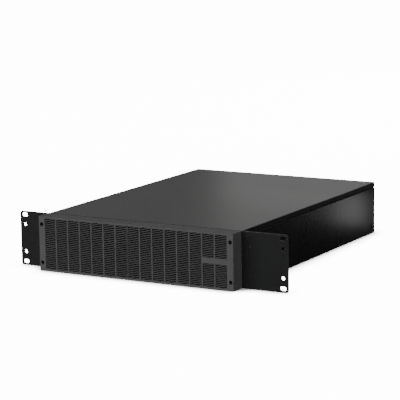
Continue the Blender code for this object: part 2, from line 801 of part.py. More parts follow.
def rack_slot(name, x, z, half_slot):
    """A round-ended slot's cutter, across the ear."""
    radius = SLOT_SIZE[1] / 2
    steps = 6
    outline = []
    for centre, start in ((half_slot, -math.pi / 2), (-half_slot, math.pi / 2)):
        for step in range(steps + 1):
            angle = start + math.pi * step / steps
            outline.append((x + centre + radius * math.cos(angle), z + radius * math.sin(angle)))
    return prism(name, outline, -EAR_SHEET, 2 * EAR_SHEET, None)


def handle_holes(side):
    """X and Z of the four small holes beside the case, for a pair of carrying handles."""
    middle = BODY_HEIGHT / 2
    places = (
        (HANDLE_HOLE_NEAR, SLOT_RISE),
        (HANDLE_HOLE_FAR, HOLE_RISE),
        (HANDLE_HOLE_FAR, -HOLE_RISE),
        (HANDLE_HOLE_NEAR, -SLOT_RISE),
    )
    return [(side * (BODY_WIDTH / 2 + inset), middle + rise) for inset, rise in places]


# ---------------------------------------------------------------- battery drawer


def battery_tray():
    """Floor and low walls folded from one sheet, joined to a taller front plate with handle lugs."""
    profile = [
        (TRAY_HIGH_X, TRAY_Z + TRAY_WALL),
        (TRAY_HIGH_X, TRAY_Z),
        (TRAY_LOW_X, TRAY_Z),
        (TRAY_LOW_X, TRAY_Z + TRAY_WALL),
    ]
    tray = folded_sheet("battery_tray", profile, TRAY_Y, TRAY_BACK, ZINC_STEEL, inwards=-1)
    half = SHEET / 2
    front = (
        (TRAY_LOW_X, TRAY_Y - half, TRAY_Z),
        (TRAY_HIGH_X, TRAY_Y + half, TRAY_FRONT_TOP),
    )
    join_shapes(tray, boxes=[front])
    back = (
        (TRAY_LOW_X, TRAY_BACK - half, TRAY_Z),
        (TRAY_HIGH_X, TRAY_BACK + half, TRAY_Z + TRAY_WALL),
    )
    lug_places = (TRAY_MID_X - LUG_X, TRAY_MID_X + LUG_X)
    lugs = [
        around(x, HANDLE_RISE, LUG_HALF, TRAY_Y - LUG_REACH, TRAY_Y - half / 2)
        for x in lug_places
    ]
    join_shapes(tray, boxes=[back, *lugs])
    bore = 2 * LUG_HALF[0]
    pin_hole = HANDLE_PIN + HANDLE_PIN_PLAY
    bores = [
        ((x - bore, HANDLE_PIVOT_Y, HANDLE_RISE), (x + bore, HANDLE_PIVOT_Y, HANDLE_RISE), pin_hole)
        for x in lug_places
    ]
    cut_rods(tray, bores, sides=16)
    opening = [length + FIT for length in PLUG_NOSE]
    window = around(CABLE_LANE, PLUG_Z, opening, TRAY_BACK - 2 * SHEET, TRAY_BACK + 2 * SHEET)
    cut_boxes(tray, [window])
    return tray


def drawer_handle():
    """A bail bent from rod, hanging from pins that turn in the tray's lugs."""
    corners = [
        (-HANDLE_LEG_X, 0, 0),
        (-HANDLE_LEG_X, 0, -HANDLE_REACH),
        (HANDLE_LEG_X, 0, -HANDLE_REACH),
        (HANDLE_LEG_X, 0, 0),
    ]
    route = rounded_route(corners, HANDLE_BEND)
    bail = wire("handle_wire", route, HANDLE_WIRE, ZINC_STEEL, resolution=2)
    handle = as_mesh(bail, "drawer_handle", ZINC_STEEL)
    handle.location = (TRAY_MID_X, HANDLE_PIVOT_Y, HANDLE_RISE)
    pin_start, pin_end = HANDLE_LEG_X - MM, LUG_X + HANDLE_PIN_REACH
    bm = bmesh.new()
    for side in (-1, 1):
        rod(bm, (side * pin_start, 0, 0), (side * pin_end, 0, 0), HANDLE_PIN, 16)
        bmesh.ops.create_uvsphere(
            bm,
            u_segments=12,
            v_segments=8,
            radius=HANDLE_EYE,
            matrix=Matrix.Translation((side * HANDLE_LEG_X, 0, 0)),
        )
    pins = finish("drawer_handle_pins", to_mesh(bm, "pins"), None)
    pins.location = handle.location
    change(handle, "UNION", pins, use_self=True)
    return handle


def battery_start(index):
    """Y of a battery's front face."""
    return BATTERY_START + index * BATTERY_PITCH


def battery(index):
    """A sealed lead-acid block lying on its side, its terminal tabs towards the rear."""
    width, length, height = BATTERY_SIZE
    y = battery_start(index)
    back = y + length
    low = (BATTERY_LOW_X, y, BATTERY_Z)
    high = (BATTERY_LOW_X + width, back - BATTERY_LID, BATTERY_Z + height)
    block = box(f"battery_{index + 1}", low, high, BATTERY_GREY, round_along=1, radius=2 * MM)
    overlap = MM
    lid = (
        (low[0] + BATTERY_LID_INSET, high[1] - overlap, low[2] + BATTERY_LID_INSET),
        (high[0] - BATTERY_LID_INSET, back, high[2] - BATTERY_LID_INSET),
    )
    join_shapes(block, boxes=[lid])
    tabs = [
        (
            (x - TAB_WIDTH / 2, back - overlap, TAB_Z),
            (x + TAB_WIDTH / 2, back + TAB_REACH, TAB_Z + TAB_THICK),
        )
        for x in terminal_places()
    ]
    join_shapes(block, boxes=tabs)
    return block


def terminal_places():
    """X of the two terminal tabs of a battery."""
    return BATTERY_LOW_X + TAB_INSET, BATTERY_LOW_X + BATTERY_SIZE[0] - TAB_INSET


def cable(name, corners):
    """An insulated lead with eased corners."""
    return wire(name, rounded_route(corners, CABLE_BEND), CABLE_RADIUS, CABLE_RED)


def cable_place(index, layer):
    """Y of the gap behind a battery, and Z of a layer of cables below its tabs."""
    y = battery_start(index) + BATTERY_SIZE[1] + CABLE_SETBACK
    return y, TAB_Z - layer * CABLE_LAYER


def battery_link(index):
    """The lead from a battery's far tab, round the open side of the tray, to the next one's near."""
    near, far = terminal_places()
    tab = TAB_Z - GAP
    y, z = cable_place(index, index + 2)
    last = cable_place(index + 1, index + 2)[0]
    corners = [
        (far, y, tab),
        (far, y, z),
        (CABLE_LANE, y, z),
        (CABLE_LANE, last, z),
        (near, last, z),
        (near, last, tab),
    ]
    return cable(f"battery_link_{index + 1}", corners)


def battery_lead(name, index, tab_x, layer):
    """A lead from one tab of the pack, along the tray, to the plug at its rear."""
    y, z = cable_place(index, layer)
    corners = [
        (tab_x, y, TAB_Z - GAP),
        (tab_x, y, z),
        (CABLE_LANE, y, z),
        (CABLE_LANE, TRAY_BACK - PLUG_DEPTH - GAP, z),
    ]
    return cable(name, corners)


def battery_plug():
    """The drawer's half of the blind-mating connector, through the tray's rear wall."""
    shell = around(CABLE_LANE, PLUG_Z, PLUG_HALF, TRAY_BACK - PLUG_DEPTH, TRAY_BACK - SHEET)
    plug = box("battery_plug", *shell, BLACK_PLASTIC)
    nose = around(CABLE_LANE, PLUG_Z, PLUG_NOSE, TRAY_BACK - 2 * SHEET, TRAY_BACK + PLUG_REACH)
    join_shapes(plug, boxes=[nose])
    return plug


def battery_socket():
    """The case's half of the connector, on a post behind the drawer."""
    end = SOCKET_START + SOCKET_DEPTH
    shell = around(CABLE_LANE, PLUG_Z, SOCKET_HALF, SOCKET_START, end)
    socket = box("battery_socket", *shell, BLACK_PLASTIC)
    opening = [length + PLUG_PLAY for length in PLUG_NOSE]
    mouth = around(CABLE_LANE, PLUG_Z, opening, TRAY_BACK, TRAY_BACK + PLUG_REACH + 3 * MM)
    cut_boxes(socket, [mouth])
    post = (
        (CABLE_LANE - PLUG_HALF[0], end - 10 * MM, SHEET + GAP),
        (CABLE_LANE + PLUG_HALF[0], end - MM, PLUG_Z),
    )
    join_shapes(socket, boxes=[post])
    return socket


# ---------------------------------------------------------------- power electronics


def power_board():
    """The main board, on the four posts of the case floor."""
    board = box("power_board", (*BOARD_LOW, BOARD_Z), (*BOARD_HIGH, BOARD_TOP), BOARD_GREEN)
    holes = [((x, y, 0), (x, y, 2 * BOARD_Z), SCREW_HOLE) for x in POST_X for y in POST_Y]
    cut_rods(board, holes, sides=8)
    return board


def control_board():
    """The logic board, standing on edge beside the divider."""
    start, end = CONTROL_Y
    low = (CONTROL_X, start, BOARD_SEAT)
    high = (CONTROL_X + BOARD_THICK, end, CONTROL_TOP)
    board = box("control_board", low, high, BOARD_GREEN)
    foot = BOARD_TOP + CHIP_RISE
    chips = [
        (
            (CONTROL_X - CHIP_THICK, y, foot),
            (CONTROL_X + BOARD_THICK / 2, y + size, foot + size),
        )
        for y, size in CHIPS
    ]
    join_shapes(board, boxes=chips)
    return board


def heatsink(name, y_start, y_end):
    """An extruded heatsink: an upright base plate with fins towards the middle of the board."""
    pitch = (HEATSINK_TOP - BOARD_SEAT - FIN_THICK) / (FIN_COUNT - 1)
    tip, root = HEATSINK_X + HEATSINK_BASE + FIN_REACH, HEATSINK_X + HEATSINK_BASE
    outline = [(HEATSINK_X, HEATSINK_TOP), (HEATSINK_X, BOARD_SEAT)]
    for index in range(FIN_COUNT):
        z = BOARD_SEAT + index * pitch
        outline += [(tip, z), (tip, z + FIN_THICK)]
        if index < FIN_COUNT - 1:
            outline += [(root, z + FIN_THICK), (root, z + pitch)]
    return prism(name, outline, y_start, y_end, ALUMINIUM)


def capacitor(name, x, y):
    """A snap-in bus capacitor with a rolled groove near its foot."""
    radius, tall = CAPACITOR_SIZE
    groove, groove_low, groove_high = radius - MM, 5 * MM, 6 * MM
    profile = [
        (0, tall),
        (radius - MM, tall),
        (radius, tall - MM),
        (radius, groove_high + MM),
        (groove, groove_high),
        (groove, groove_low),
        (radius, groove_low - MM),
        (radius, 0),
        (0, 0),
    ]
    return turned(name, profile, (x, y, BOARD_SEAT), SLEEVE_BLUE, turn=(0, 0, 0), steps=20)


def choke(name, x, y):
    """A toroidal choke standing on edge in a flat-footed cup."""
    ring = torus(name, (x, y, BOARD_TOP + CHOKE_RISE), CHOKE_RING, 20, 8, COPPER)
    half_x, half_y, tall = CHOKE_FOOT
    foot = ((x - half_x, y - half_y, BOARD_SEAT), (x + half_x, y + half_y, BOARD_TOP + tall))
    join_shapes(ring, boxes=[foot])
    return ring


def transformer():
    """The charger transformer: a laminated core round a wound bobbin."""
    x, y = TRANSFORMER_PLACE
    width, depth, tall = CORE_SIZE
    low = (x - width / 2, y - depth / 2, BOARD_SEAT)
    high = (x + width / 2, y + depth / 2, BOARD_SEAT + tall)
    core = box("charger_transformer", low, high, DARK_STEEL)
    near, far = width / 2 - CORE_LIMB, width / 2 - 2 * CORE_LIMB - MM
    floor, roof = BOARD_SEAT + CORE_LIMB, BOARD_SEAT + tall - CORE_LIMB
    half_x, half_y = COIL_HALF
    windows = [
        ((x + min(start, end), y - half_y, floor), (x + max(start, end), y + half_y, roof))
        for start, end in ((-near, -far), (far, near))
    ]
    cut_boxes(core, windows)
    coil = ((x - half_x, y - half_y, floor + MM), (x + half_x, y + half_y, roof - MM))
    join_shapes(core, boxes=[coil])
    return core


# ---------------------------------------------------------------- fans


def fan_frame(number, x):
    """A fan's square frame, with three struts that carry its motor and bearing."""
    half = FAN_SIZE / 2
    frame = box(
        f"fan_frame_{number}",
        (x - half, FAN_FRONT, FAN_Z - half),
        (x + half, FAN_BACK, FAN_Z + half),
        BLACK_PLASTIC,
        round_along=1,
        radius=FAN_CORNER,
        segments=1,
    )
    cut_rods(frame, [((x, FAN_FRONT - MM, FAN_Z), (x, FAN_BACK + MM, FAN_Z), FAN_BORE)], sides=24)
    width, depth = STRUT_SIZE
    start, end = FAN_HUB - FAN_STRUT_BITE, FAN_BORE + FAN_STRUT_BITE
    bars = bmesh.new()
    for step in range(FAN_STRUTS):
        angle = math.pi / 6 + step * 2 * math.pi / FAN_STRUTS
        turn = Matrix.Rotation(-angle, 4, "Y")
        hub = Matrix.Translation((x, FAN_BACK - FAN_STRUT_INSET, FAN_Z)) @ turn
        middle = Matrix.Translation(((start + end) / 2, 0, 0))
        size = Matrix.Diagonal((end - start, width, depth, 1))
        bmesh.ops.create_cube(bars, size=1, matrix=hub @ middle @ size)
    change(frame, "UNION", finish(f"{frame.name}_struts", to_mesh(bars, "struts"), None))
    motor = ((x, FAN_BACK - FAN_MOTOR_DEPTH, FAN_Z), (x, FAN_BACK - GAP, FAN_Z), FAN_HUB)
    join_shapes(frame, rods=[motor], sides=20)
    inner, outer = (FAN_BACK - depth for depth in FAN_BEARING)
    cut_rods(
        frame, [((x, inner, FAN_Z), (x, outer, FAN_Z), FAN_SHAFT + SHAFT_CLEAR)], sides=16
    )
    return frame


def fan_rotor(number, x):
    """Hub and blades in one moulding, its origin on the axis."""
    middle = (ROTOR_FRONT + ROTOR_BACK) / 2
    half = (ROTOR_BACK - ROTOR_FRONT) / 2
    chamfer = 2 * MM
    profile = [
        (0, half + SHAFT_REACH),
        (FAN_SHAFT, half + SHAFT_REACH),
        (FAN_SHAFT, half),
        (FAN_HUB, half),
        (FAN_HUB, -half + chamfer),
        (FAN_HUB - chamfer, -half),
        (0, -half),
    ]
    rotor = turned(f"fan_rotor_{number}", profile, (x, middle, FAN_Z), BLACK_PLASTIC)
    blades = bmesh.new()
    for step in range(BLADE_COUNT):
        add_blade(blades, 2 * math.pi * step / BLADE_COUNT, half)
    joined = finish(f"{rotor.name}_blades", to_mesh(blades, "blades"), None)
    joined.location = rotor.location
    change(rotor, "UNION", joined)
    return rotor


def add_blade(bm, turn, half):
    """One swept blade: a strip of thin sections whose pitch eases from root to tip."""
    root = FAN_HUB - 1.5 * MM
    axis = Vector((0, 1, 0))
    sections = []
    for station in range(BLADE_STATIONS + 1):
        share = station / BLADE_STATIONS
        radius = root + (BLADE_TIP - root) * share
        angle = turn + BLADE_SWEEP * share
        pitch = BLADE_PITCH[0] + (BLADE_PITCH[1] - BLADE_PITCH[0]) * share
        chord = BLADE_CHORD[0] + (BLADE_CHORD[1] - BLADE_CHORD[0]) * share
        along = min(math.sin(pitch) * chord / 2, half - MM)
        across = math.cos(pitch) * chord / 2
        outward = Vector((math.cos(angle), 0, math.sin(angle)))
        around_hub = Vector((-math.sin(angle), 0, math.cos(angle)))
        normal = (axis * across - around_hub * along).normalized() * BLADE_THICK / 2
        lead = around_hub * across + axis * along
        centre = outward * radius
        offsets = (lead + normal, lead - normal, -lead - normal, -lead + normal)
        sections.append([bm.verts.new(centre + offset) for offset in offsets])
    for first, second in zip(sections, sections[1:]):
        for side in range(4):
            after = (side + 1) % 4
            bm.faces.new((first[side], first[after], second[after], second[side]))
    bm.faces.new(sections[0])
    bm.faces.new(sections[-1])


def fan_guard(number, x):
    """Wire rings on four legs whose eyes are screwed to the rear panel."""
    name = f"fan_guard_{number}"
    centre = (x, GUARD_Y, FAN_Z)
    inner, outer = GUARD_RINGS
    guard = torus(name, centre, (inner, GUARD_WIRE), 18, 4, ZINC_STEEL)
    change(guard, "UNION", torus(f"{name}_outer", centre, (outer, GUARD_WIRE), 18, 4, None))
    diagonals = [
        Vector((math.cos(angle), 0, math.sin(angle))) * EYE_REACH
        for angle in (math.pi / 4 + step * math.pi / 2 for step in range(4))
    ]
    bm = bmesh.new()
    hub = Vector((x, SPOKE_Y, FAN_Z))
    for end in diagonals[:2]:
        rod(bm, hub - end, hub + end, GUARD_WIRE, 6)
    for end in diagonals:
        eye = Vector((x, 0, FAN_Z)) + end
        foot = (eye.x, REAR_FACE + GAP, eye.z)
        top = (eye.x, SPOKE_Y + 1.1 * MM, eye.z)
        rod(bm, foot, top, EYE_RADIUS, 8)
    spokes = finish(f"{name}_spokes", to_mesh(bm, "spokes"), None)
    change(guard, "UNION", spokes, use_self=True)
    return guard


# ---------------------------------------------------------------- rear panel and its fittings


def rear_panel():
    """The rear sheet between the case walls, cut for the fans and every fitting."""
    panel = box(
        "rear_panel",
        (-REAR_SIDE, REAR_FACE - SHEET, SHEET + GAP),
        (REAR_SIDE, REAR_FACE, BODY_HEIGHT - SHEET - GAP),
        BLACK_PAINT,
    )
    reach, low, high = REAR_TAB
    tabs = []
    for sign in (-1, 1):
        xs = sorted((sign * (REAR_SIDE - SHEET), sign * REAR_SIDE))
        tabs.append(((xs[0], REAR_FACE - reach, low), (xs[1], REAR_FACE - SHEET / 2, high)))
    join_shapes(panel, boxes=tabs)
    near, far = REAR_FACE - CUT_REACH, REAR_FACE + CUT_REACH
    windows = []
    for fitting in (INLET, OUTLETS, SWITCH, PORTS, EXPANSION):
        half = [length / 2 - RIM + FIT for length in fitting["size"]]
        windows.append(around(fitting["x"], fitting["z"], half, near, far))
    cut_boxes(panel, windows)
    rounds = [
        (BREAKER["x"], BREAKER["z"], BREAKER["radius"] - RIM + FIT),
        (GROUND["x"], GROUND["z"], STUD_BORE),
    ]
    rounds += [(x, FAN_Z, FAN_BORE - MM) for x in FAN_X]
    rounds += [(x, SLOT["z"], SCREW_BORE) for x in thumbscrew_places()]
    holes = [((x, near, z), (x, far, z), radius) for x, z, radius in rounds]
    y, z = REAR_SCREW
    bite = CUT_REACH / 2
    for sign in (-1, 1):
        start, end = (sign * (REAR_SIDE - bite), y, z), (sign * (REAR_SIDE + bite), y, z)
        holes.append((start, end, SCREW_HOLE))
    cut_rods(panel, holes, sides=24)
    return panel


def snap_in(name, fitting, inside, paint, proud):
    """A moulding pushed in from outside: a rim on the panel and a body behind it."""
    x, z = fitting["x"], fitting["z"]
    half = [length / 2 for length in fitting["size"]]
    obj = box(name, *around(x, z, half, REAR_FACE + GAP, REAR_FACE + proud), paint)
    inner = [length - RIM for length in half]
    behind = around(x, z, inner, REAR_FACE - inside, REAR_FACE + proud / 2 + GAP)
    join_shapes(obj, boxes=[behind])
    return obj


def power_inlet():
    """A mains inlet: a recess with three flat pins."""
    inlet = snap_in("power_inlet", INLET, 22 * MM, BLACK_PLASTIC, proud=3 * MM)
    x, z = INLET["x"], INLET["z"]
    floor = REAR_FACE - INLET_DEPTH
    cut_boxes(inlet, [around(x, z, INLET_HALF, floor, REAR_FACE + INLET_DEPTH)])
    pins = [
        around(x + across, z + up, PIN_HALF, floor - 2 * MM, REAR_FACE + MM)
        for across, up in INLET_PINS
    ]
    join_shapes(inlet, boxes=pins)
    return inlet


def outlet_bank():
    """Four mains outlets in one moulding: each a block with three slots inside a moat."""
    bank = snap_in("outlet_bank", OUTLETS, 20 * MM, BLACK_PLASTIC, proud=OUTLET_PROUD)
    face = REAR_FACE + OUTLET_PROUD
    out = face + 5 * MM
    moats, blocks, slots = [], [], []
    for index in range(OUTLET_COUNT):
        x, z = outlet_place(index)
        moats.append(around(x, z, MOAT_HALF, face - MOAT_DEPTH, out))
        blocks.append(around(x, z, BLOCK_HALF, face - MOAT_DEPTH - 2 * MM, face - 1.5 * MM))
        for across, up in OUTLET_SLOTS:
            slots.append(around(x + across, z + up, SLOT_HALF, face - 12 * MM, out))
    cut_boxes(bank, moats)
    join_shapes(bank, boxes=blocks)
    cut_boxes(bank, slots)
    return bank


def outlet_place(index):
    """X and Z of the middle of one outlet."""
    return OUTLETS["x"] + (index - (OUTLET_COUNT - 1) / 2) * OUTLET_PITCH, OUTLETS["z"]


def switch_housing():
    """The mains switch's snap-in frame, bored for the rocker's trunnions."""
    housing = snap_in("switch_housing", SWITCH, 14 * MM, BLACK_PLASTIC, proud=2 * MM)
    x, z = SWITCH["x"], SWITCH["z"]
    half_width, half_height, depth = SWITCH_WELL
    well = around(x, z, (half_width, half_height), REAR_FACE - depth, REAR_FACE + depth)
    cut_boxes(housing, [well])
    reach = TRUNNION_REACH + 1.6 * MM
    cut_rods(housing, [((x - reach, PIVOT_Y, z), (x + reach, PIVOT_Y, z), TRUNNION)], sides=16)
    return housing


def switch_rocker():
    """The rocker: its side view as thick as it is wide, and a trunnion out of each side."""
    side_view = [
        (-ROCKER_HALF_HEIGHT, ROCKER_LOW_EDGE),
        (-ROCKER_HALF_HEIGHT, -ROCKER_SHOULDER),
        (-ROCKER_FOOT, -ROCKER_DEPTH),
        (ROCKER_FOOT, -ROCKER_DEPTH),
        (ROCKER_HALF_HEIGHT, -ROCKER_SHOULDER),
        (ROCKER_HALF_HEIGHT, ROCKER_HIGH_EDGE),
        (0, ROCKER_DIP),
    ]
    outline = [(depth, up) for up, depth in side_view]
    rocker = as_mesh(
        flat_curve("switch_rocker", outline, 2 * ROCKER_HALF_WIDTH), "switch_rocker", BLACK_PLASTIC
    )
    upright = Matrix.Rotation(math.pi / 2, 4, "Z") @ Matrix.Rotation(math.pi / 2, 4, "X")
    rocker.data.transform(upright)
    rocker.location = (SWITCH["x"], PIVOT_Y, SWITCH["z"])
    pin = ((-TRUNNION_REACH, 0, 0), (TRUNNION_REACH, 0, 0), TRUNNION - SHAFT_CLEAR)
    pins = shapes("switch_rocker_pins", rods=[pin], sides=16)
    pins.location = rocker.location
    change(rocker, "UNION", pins)
    return rocker


def breaker():
    """The resettable input breaker: a threaded barrel and collar round a push button."""
    radius = BREAKER["radius"]
    place = (BREAKER["x"], REAR_FACE, BREAKER["z"])
    proud, floor, end = 3 * MM, -10 * MM, -16 * MM
    barrel = radius - RIM
    profile = [
        (0, floor),
        (BREAKER_BORE, floor),
        (BREAKER_BORE, proud),
        (radius - MM, proud),
        (radius, proud - MM),
        (radius, GAP),
        (barrel, GAP),
        (barrel, end),
        (0, end),
    ]
    turned("breaker_body", profile, place, BLACK_PLASTIC, steps=20)
    top, chamfer, foot = 5 * MM, 0.6 * MM, -6 * MM
    button = [
        (0, top),
        (BUTTON_RADIUS - chamfer, top),
        (BUTTON_RADIUS, top - chamfer),
        (BUTTON_RADIUS, foot),
        (0, foot),
    ]
    return turned("breaker_button", button, place, CABLE_RED)


def thumbscrew_places():
    """X of the slot cover's two thumbscrews."""
    reach = SLOT["size"][0] / 2 - THUMBSCREW_INSET
    return SLOT["x"] - reach, SLOT["x"] + reach


def slot_cover():
    """The plate over the communication card's slot."""
    half = [length / 2 for length in SLOT["size"]]
    low, high = around(SLOT["x"], SLOT["z"], half, REAR_FACE + GAP, REAR_FACE + GAP + SHEET)
    cover = box("slot_cover", low, high, BLACK_PAINT, round_along=1, radius=1.5 * MM, segments=1)
    near, far = REAR_FACE - 5 * MM, REAR_FACE + 5 * MM
    holes = [((x, near, SLOT["z"]), (x, far, SLOT["z"]), SCREW_BORE) for x in thumbscrew_places()]
    cut_rods(cover, holes, sides=8)
    return cover


def thumbscrew(number, x):
    """A thumbscrew of the slot cover, its head as far out as anything on the unit."""
    top = REAR_PROUD + SHEET
    seat = 2 * GAP + SHEET
    chamfer, foot = 0.8 * MM, -5 * MM
    profile = [
        (0, top),
        (THUMBSCREW_HEAD - chamfer, top),
        (THUMBSCREW_HEAD, top - chamfer),
        (THUMBSCREW_HEAD, seat),
        (THUMBSCREW_SHANK, seat),
        (THUMBSCREW_SHANK, foot),
        (0, foot),
    ]
    return turned(f"slot_thumbscrew_{number}", profile, (x, REAR_FACE, SLOT["z"]), ZINC_STEEL)


def port_block():
    """Serial, USB and two network ports in one metal-faced moulding."""
    block = snap_in("port_block", PORTS, 18 * MM, DARK_STEEL, proud=1.5 * MM)
    x, z = PORTS["x"], PORTS["z"]
    floor, out = REAR_FACE - PORT_DEPTH, REAR_FACE + PORT_DEPTH
    mouths = [
        ((x + left, floor, z + low), (x + right, out, z + high))
        for (left, right), (low, high) in PORT_MOUTHS
    ]
    cut_boxes(block, mouths)
    return block


def expansion_connector():
    """The connector for an outside battery cabinet: two square contacts, one over the other."""
    block = snap_in("expansion_connector", EXPANSION, 20 * MM, CABLE_RED, proud=5 * MM)
    x, z = EXPANSION["x"], EXPANSION["z"]
    floor, out = REAR_FACE - PORT_DEPTH, REAR_FACE + PORT_DEPTH
    mouths = [
        around(x, z + rise, CONTACT_HALF, floor, out) for rise in (-CONTACT_RISE, CONTACT_RISE)
    ]
    cut_boxes(block, mouths)
    return block


def ground_stud():
    """The earth stud with its nut, through the rear panel."""
    profile = [
        (0, STUD_TOP),
        (STUD_RADIUS - STUD_CHAMFER, STUD_TOP),
        (STUD_RADIUS, STUD_TOP - STUD_CHAMFER),
        (STUD_RADIUS, NUT_TOP),
        (NUT_RADIUS, NUT_TOP),
        (NUT_RADIUS, GAP),
        (STUD_RADIUS, GAP),
        (STUD_RADIUS, STUD_FOOT),
        (0, STUD_FOOT),
    ]
    place = (GROUND["x"], REAR_FACE, GROUND["z"])
    return turned("ground_stud", profile, place, ZINC_STEEL, steps=12)


# ---------------------------------------------------------------- assembly


def build_case():
    chassis_base()
    top_cover()
    front_frame()
    bay_divider()
    rear_panel()


def build_bezel():
    side, seam = BODY_WIDTH / 2, SEAM / 2
    left_screw, right_screw = BEZEL_SCREW_X
    first = -side + SIDE_STRIP
    bezel("bezel_left", -side, SEAM_X - seam, COLUMNS_LEFT, first, left_screw)
    bar = {
        "columns": range(COLUMNS_RIGHT - BAR_COLUMNS, COLUMNS_RIGHT),
        "low": (BODY_HEIGHT - BAR_HEIGHT) / 2,
        "high": (BODY_HEIGHT + BAR_HEIGHT) / 2,
    }
    bezel("bezel_right", SEAM_X + seam, side, COLUMNS_RIGHT, SEAM_X, right_screw, bar)
    for word, x in zip(("left", "right"), BEZEL_SCREW_X):
        for number, z in enumerate(BEZEL_SCREW_RISE, start=1):
            seat = (x, BEZEL_SCREW_SEAT - GAP, z)
            pan_screw(f"bezel_screw_{word}_{number}", seat, "-Y", BEZEL_SCREW)


def build_ears():
    side = BODY_WIDTH / 2
    for word, sign, width in (("left", -1, EAR_LEFT), ("right", 1, EAR_RIGHT)):
        rack_ear(f"rack_ear_{word}", sign, width)
        facing = "+X" if sign > 0 else "-X"
        seat_x = sign * (side + EAR_SHEET + 2 * GAP)
        for number, (y, z) in enumerate(EAR_SCREW_PLACES, start=1):
            pan_screw(f"ear_screw_{word}_{number}", (seat_x, y, z), facing, EAR_SCREW)
        y, z = REAR_SCREW
        pan_screw(f"case_screw_{word}", (sign * (side + GAP), y, z), facing, CASE_SCREW)


def build_drawer():
    battery_tray()
    drawer_handle()
    for index in range(BATTERY_COUNT):
        battery(index)
    for index in range(BATTERY_COUNT - 1):
        battery_link(index)
    near, far = terminal_places()
    battery_lead("battery_lead_plus", 0, near, 1)
    battery_lead("battery_lead_minus", BATTERY_COUNT - 1, far, 4)
    battery_plug()
    battery_socket()


def build_electronics():
    power_board()
    control_board()
    for number, (start, end) in enumerate(HEATSINK_RUNS, start=1):
        heatsink(f"heatsink_{number}", start, end)
    for number, y in enumerate(CAPACITOR_ROWS, start=1):
        capacitor(f"bus_capacitor_{number}", CAPACITOR_X, y)
    transformer()
    for number, x in enumerate(CHOKE_X, start=1):
        choke(f"toroid_choke_{number}", x, CHOKE_ROW)


def build_rear():
    for number, x in enumerate(FAN_X, start=1):
        fan_frame(number, x)
        fan_rotor(number, x)
        fan_guard(number, x)
    power_inlet()
    outlet_bank()
    switch_housing()
    switch_rocker()
    breaker()
    slot_cover()
    for number, x in enumerate(thumbscrew_places(), start=1):
        thumbscrew(number, x)
    port_block()
    expansion_connector()
    ground_stud()


build_case()
build_bezel()
build_ears()
build_drawer()
build_electronics()
build_rear()
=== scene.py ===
"""The looks of a 2U rack-mount uninterruptible power supply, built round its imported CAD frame.

Metres, in the CAD frame: the front faces -Y and the unit stands on Z = 0.
"""

import json
import math

import bmesh
import bpy
from mathutils import Matrix, Vector


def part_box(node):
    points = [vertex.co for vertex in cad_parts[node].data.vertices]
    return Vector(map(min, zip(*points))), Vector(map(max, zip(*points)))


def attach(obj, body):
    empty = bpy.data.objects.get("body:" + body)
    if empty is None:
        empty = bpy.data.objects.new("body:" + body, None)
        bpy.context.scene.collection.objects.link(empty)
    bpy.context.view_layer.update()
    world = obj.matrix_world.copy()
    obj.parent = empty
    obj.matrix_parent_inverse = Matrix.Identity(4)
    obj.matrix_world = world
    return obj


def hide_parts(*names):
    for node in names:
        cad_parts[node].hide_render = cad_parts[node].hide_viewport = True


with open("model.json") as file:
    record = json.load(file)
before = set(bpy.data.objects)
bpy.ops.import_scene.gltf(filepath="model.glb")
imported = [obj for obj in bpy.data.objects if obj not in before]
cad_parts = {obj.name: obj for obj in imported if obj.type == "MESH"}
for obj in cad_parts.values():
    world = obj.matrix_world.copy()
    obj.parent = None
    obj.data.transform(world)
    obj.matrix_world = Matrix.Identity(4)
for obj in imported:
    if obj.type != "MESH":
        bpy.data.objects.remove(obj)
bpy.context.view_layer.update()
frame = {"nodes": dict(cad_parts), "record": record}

MM = 0.001

# Camera, from the front and a little to the right
AZIMUTH = math.radians(29.96)
ELEVATION = math.radians(10.19)
ROLL = math.radians(-1.0)
DISTANCE = 3.004
TARGET = Vector((-0.0228, -0.0305, 0.0885))
LENS_MM = 164.7
SENSOR_MM = 36
CAMERA_REACH = 20

# Floor: it glows, and its glow is dimmed within a short reach of the object as a painted contact
# shadow
FLOOR_SIZE = 60
FLOOR_WHITE = (0.8, 0.8, 0.8, 1)
FLOOR_ROUGHNESS = 0.95
FLOOR_GLOW = 14
CONTACT_REACH = 30 * MM
CONTACT_SAMPLES = 8
CONTACT_START = 0.5
CONTACT_SHADOW_TONE = (0.01, 0.01, 0.01, 1)

# Lights: the room's even glow, and each softbox's name, place, aim, size and power in watts
ROOM_LIGHT = 0.05
FILLS = (
    ("front", (-0.7, -2.5, 0.75), (0, -0.2, 0.04), (3.4, 1.5), 103),
    ("left_fill", (-2.2, 0.3, 0.5), (-0.18, 0, 0.04), (2.0, 1.0), 19),
    ("right_fill", (2.4, -0.9, 0.7), (0.18, 0, 0.04), (0.9, 0.6), 8),
    ("rear_fill", (0.1, 2.5, 0.75), (0, 0.25, 0.04), (1.6, 1.2), 46),
)
FILL_GLOSS = 0.3  # the share of a fill that shows in gloss
SOFTBOXES = (
    ("back_wall", (-1.9, 3.2, 0.8), (0, 0, 0.088), (3.0, 0.9), 1.82),
    ("cover_sheen", (-0.42, 1.45, 0.40), (0.1, 0.3, 0.088), (0.7, 0.5), 0.48),
    ("side_glow", (0.27, 0.38, 0.012), (0.163, 0.19, 0.05), (0.045, 0.06), 0.027),
    ("left_panel", (-1.7, -0.1, -0.34), (-0.18, 0, 0.04), (1.8, 0.5), 12),
    ("right_panel", (1.7, -0.85, -0.33), (0.16, -0.1, 0.04), (1.2, 0.5), 8),
    ("rear_panel", (-0.75, 1.7, -0.42), (0, 0.25, 0.04), (1.1, 0.5), 6),
)
CEILING = ("ceiling", (0, 0.3, 1.6), (0, 0.3, 0), (5.4, 5.4), 44)

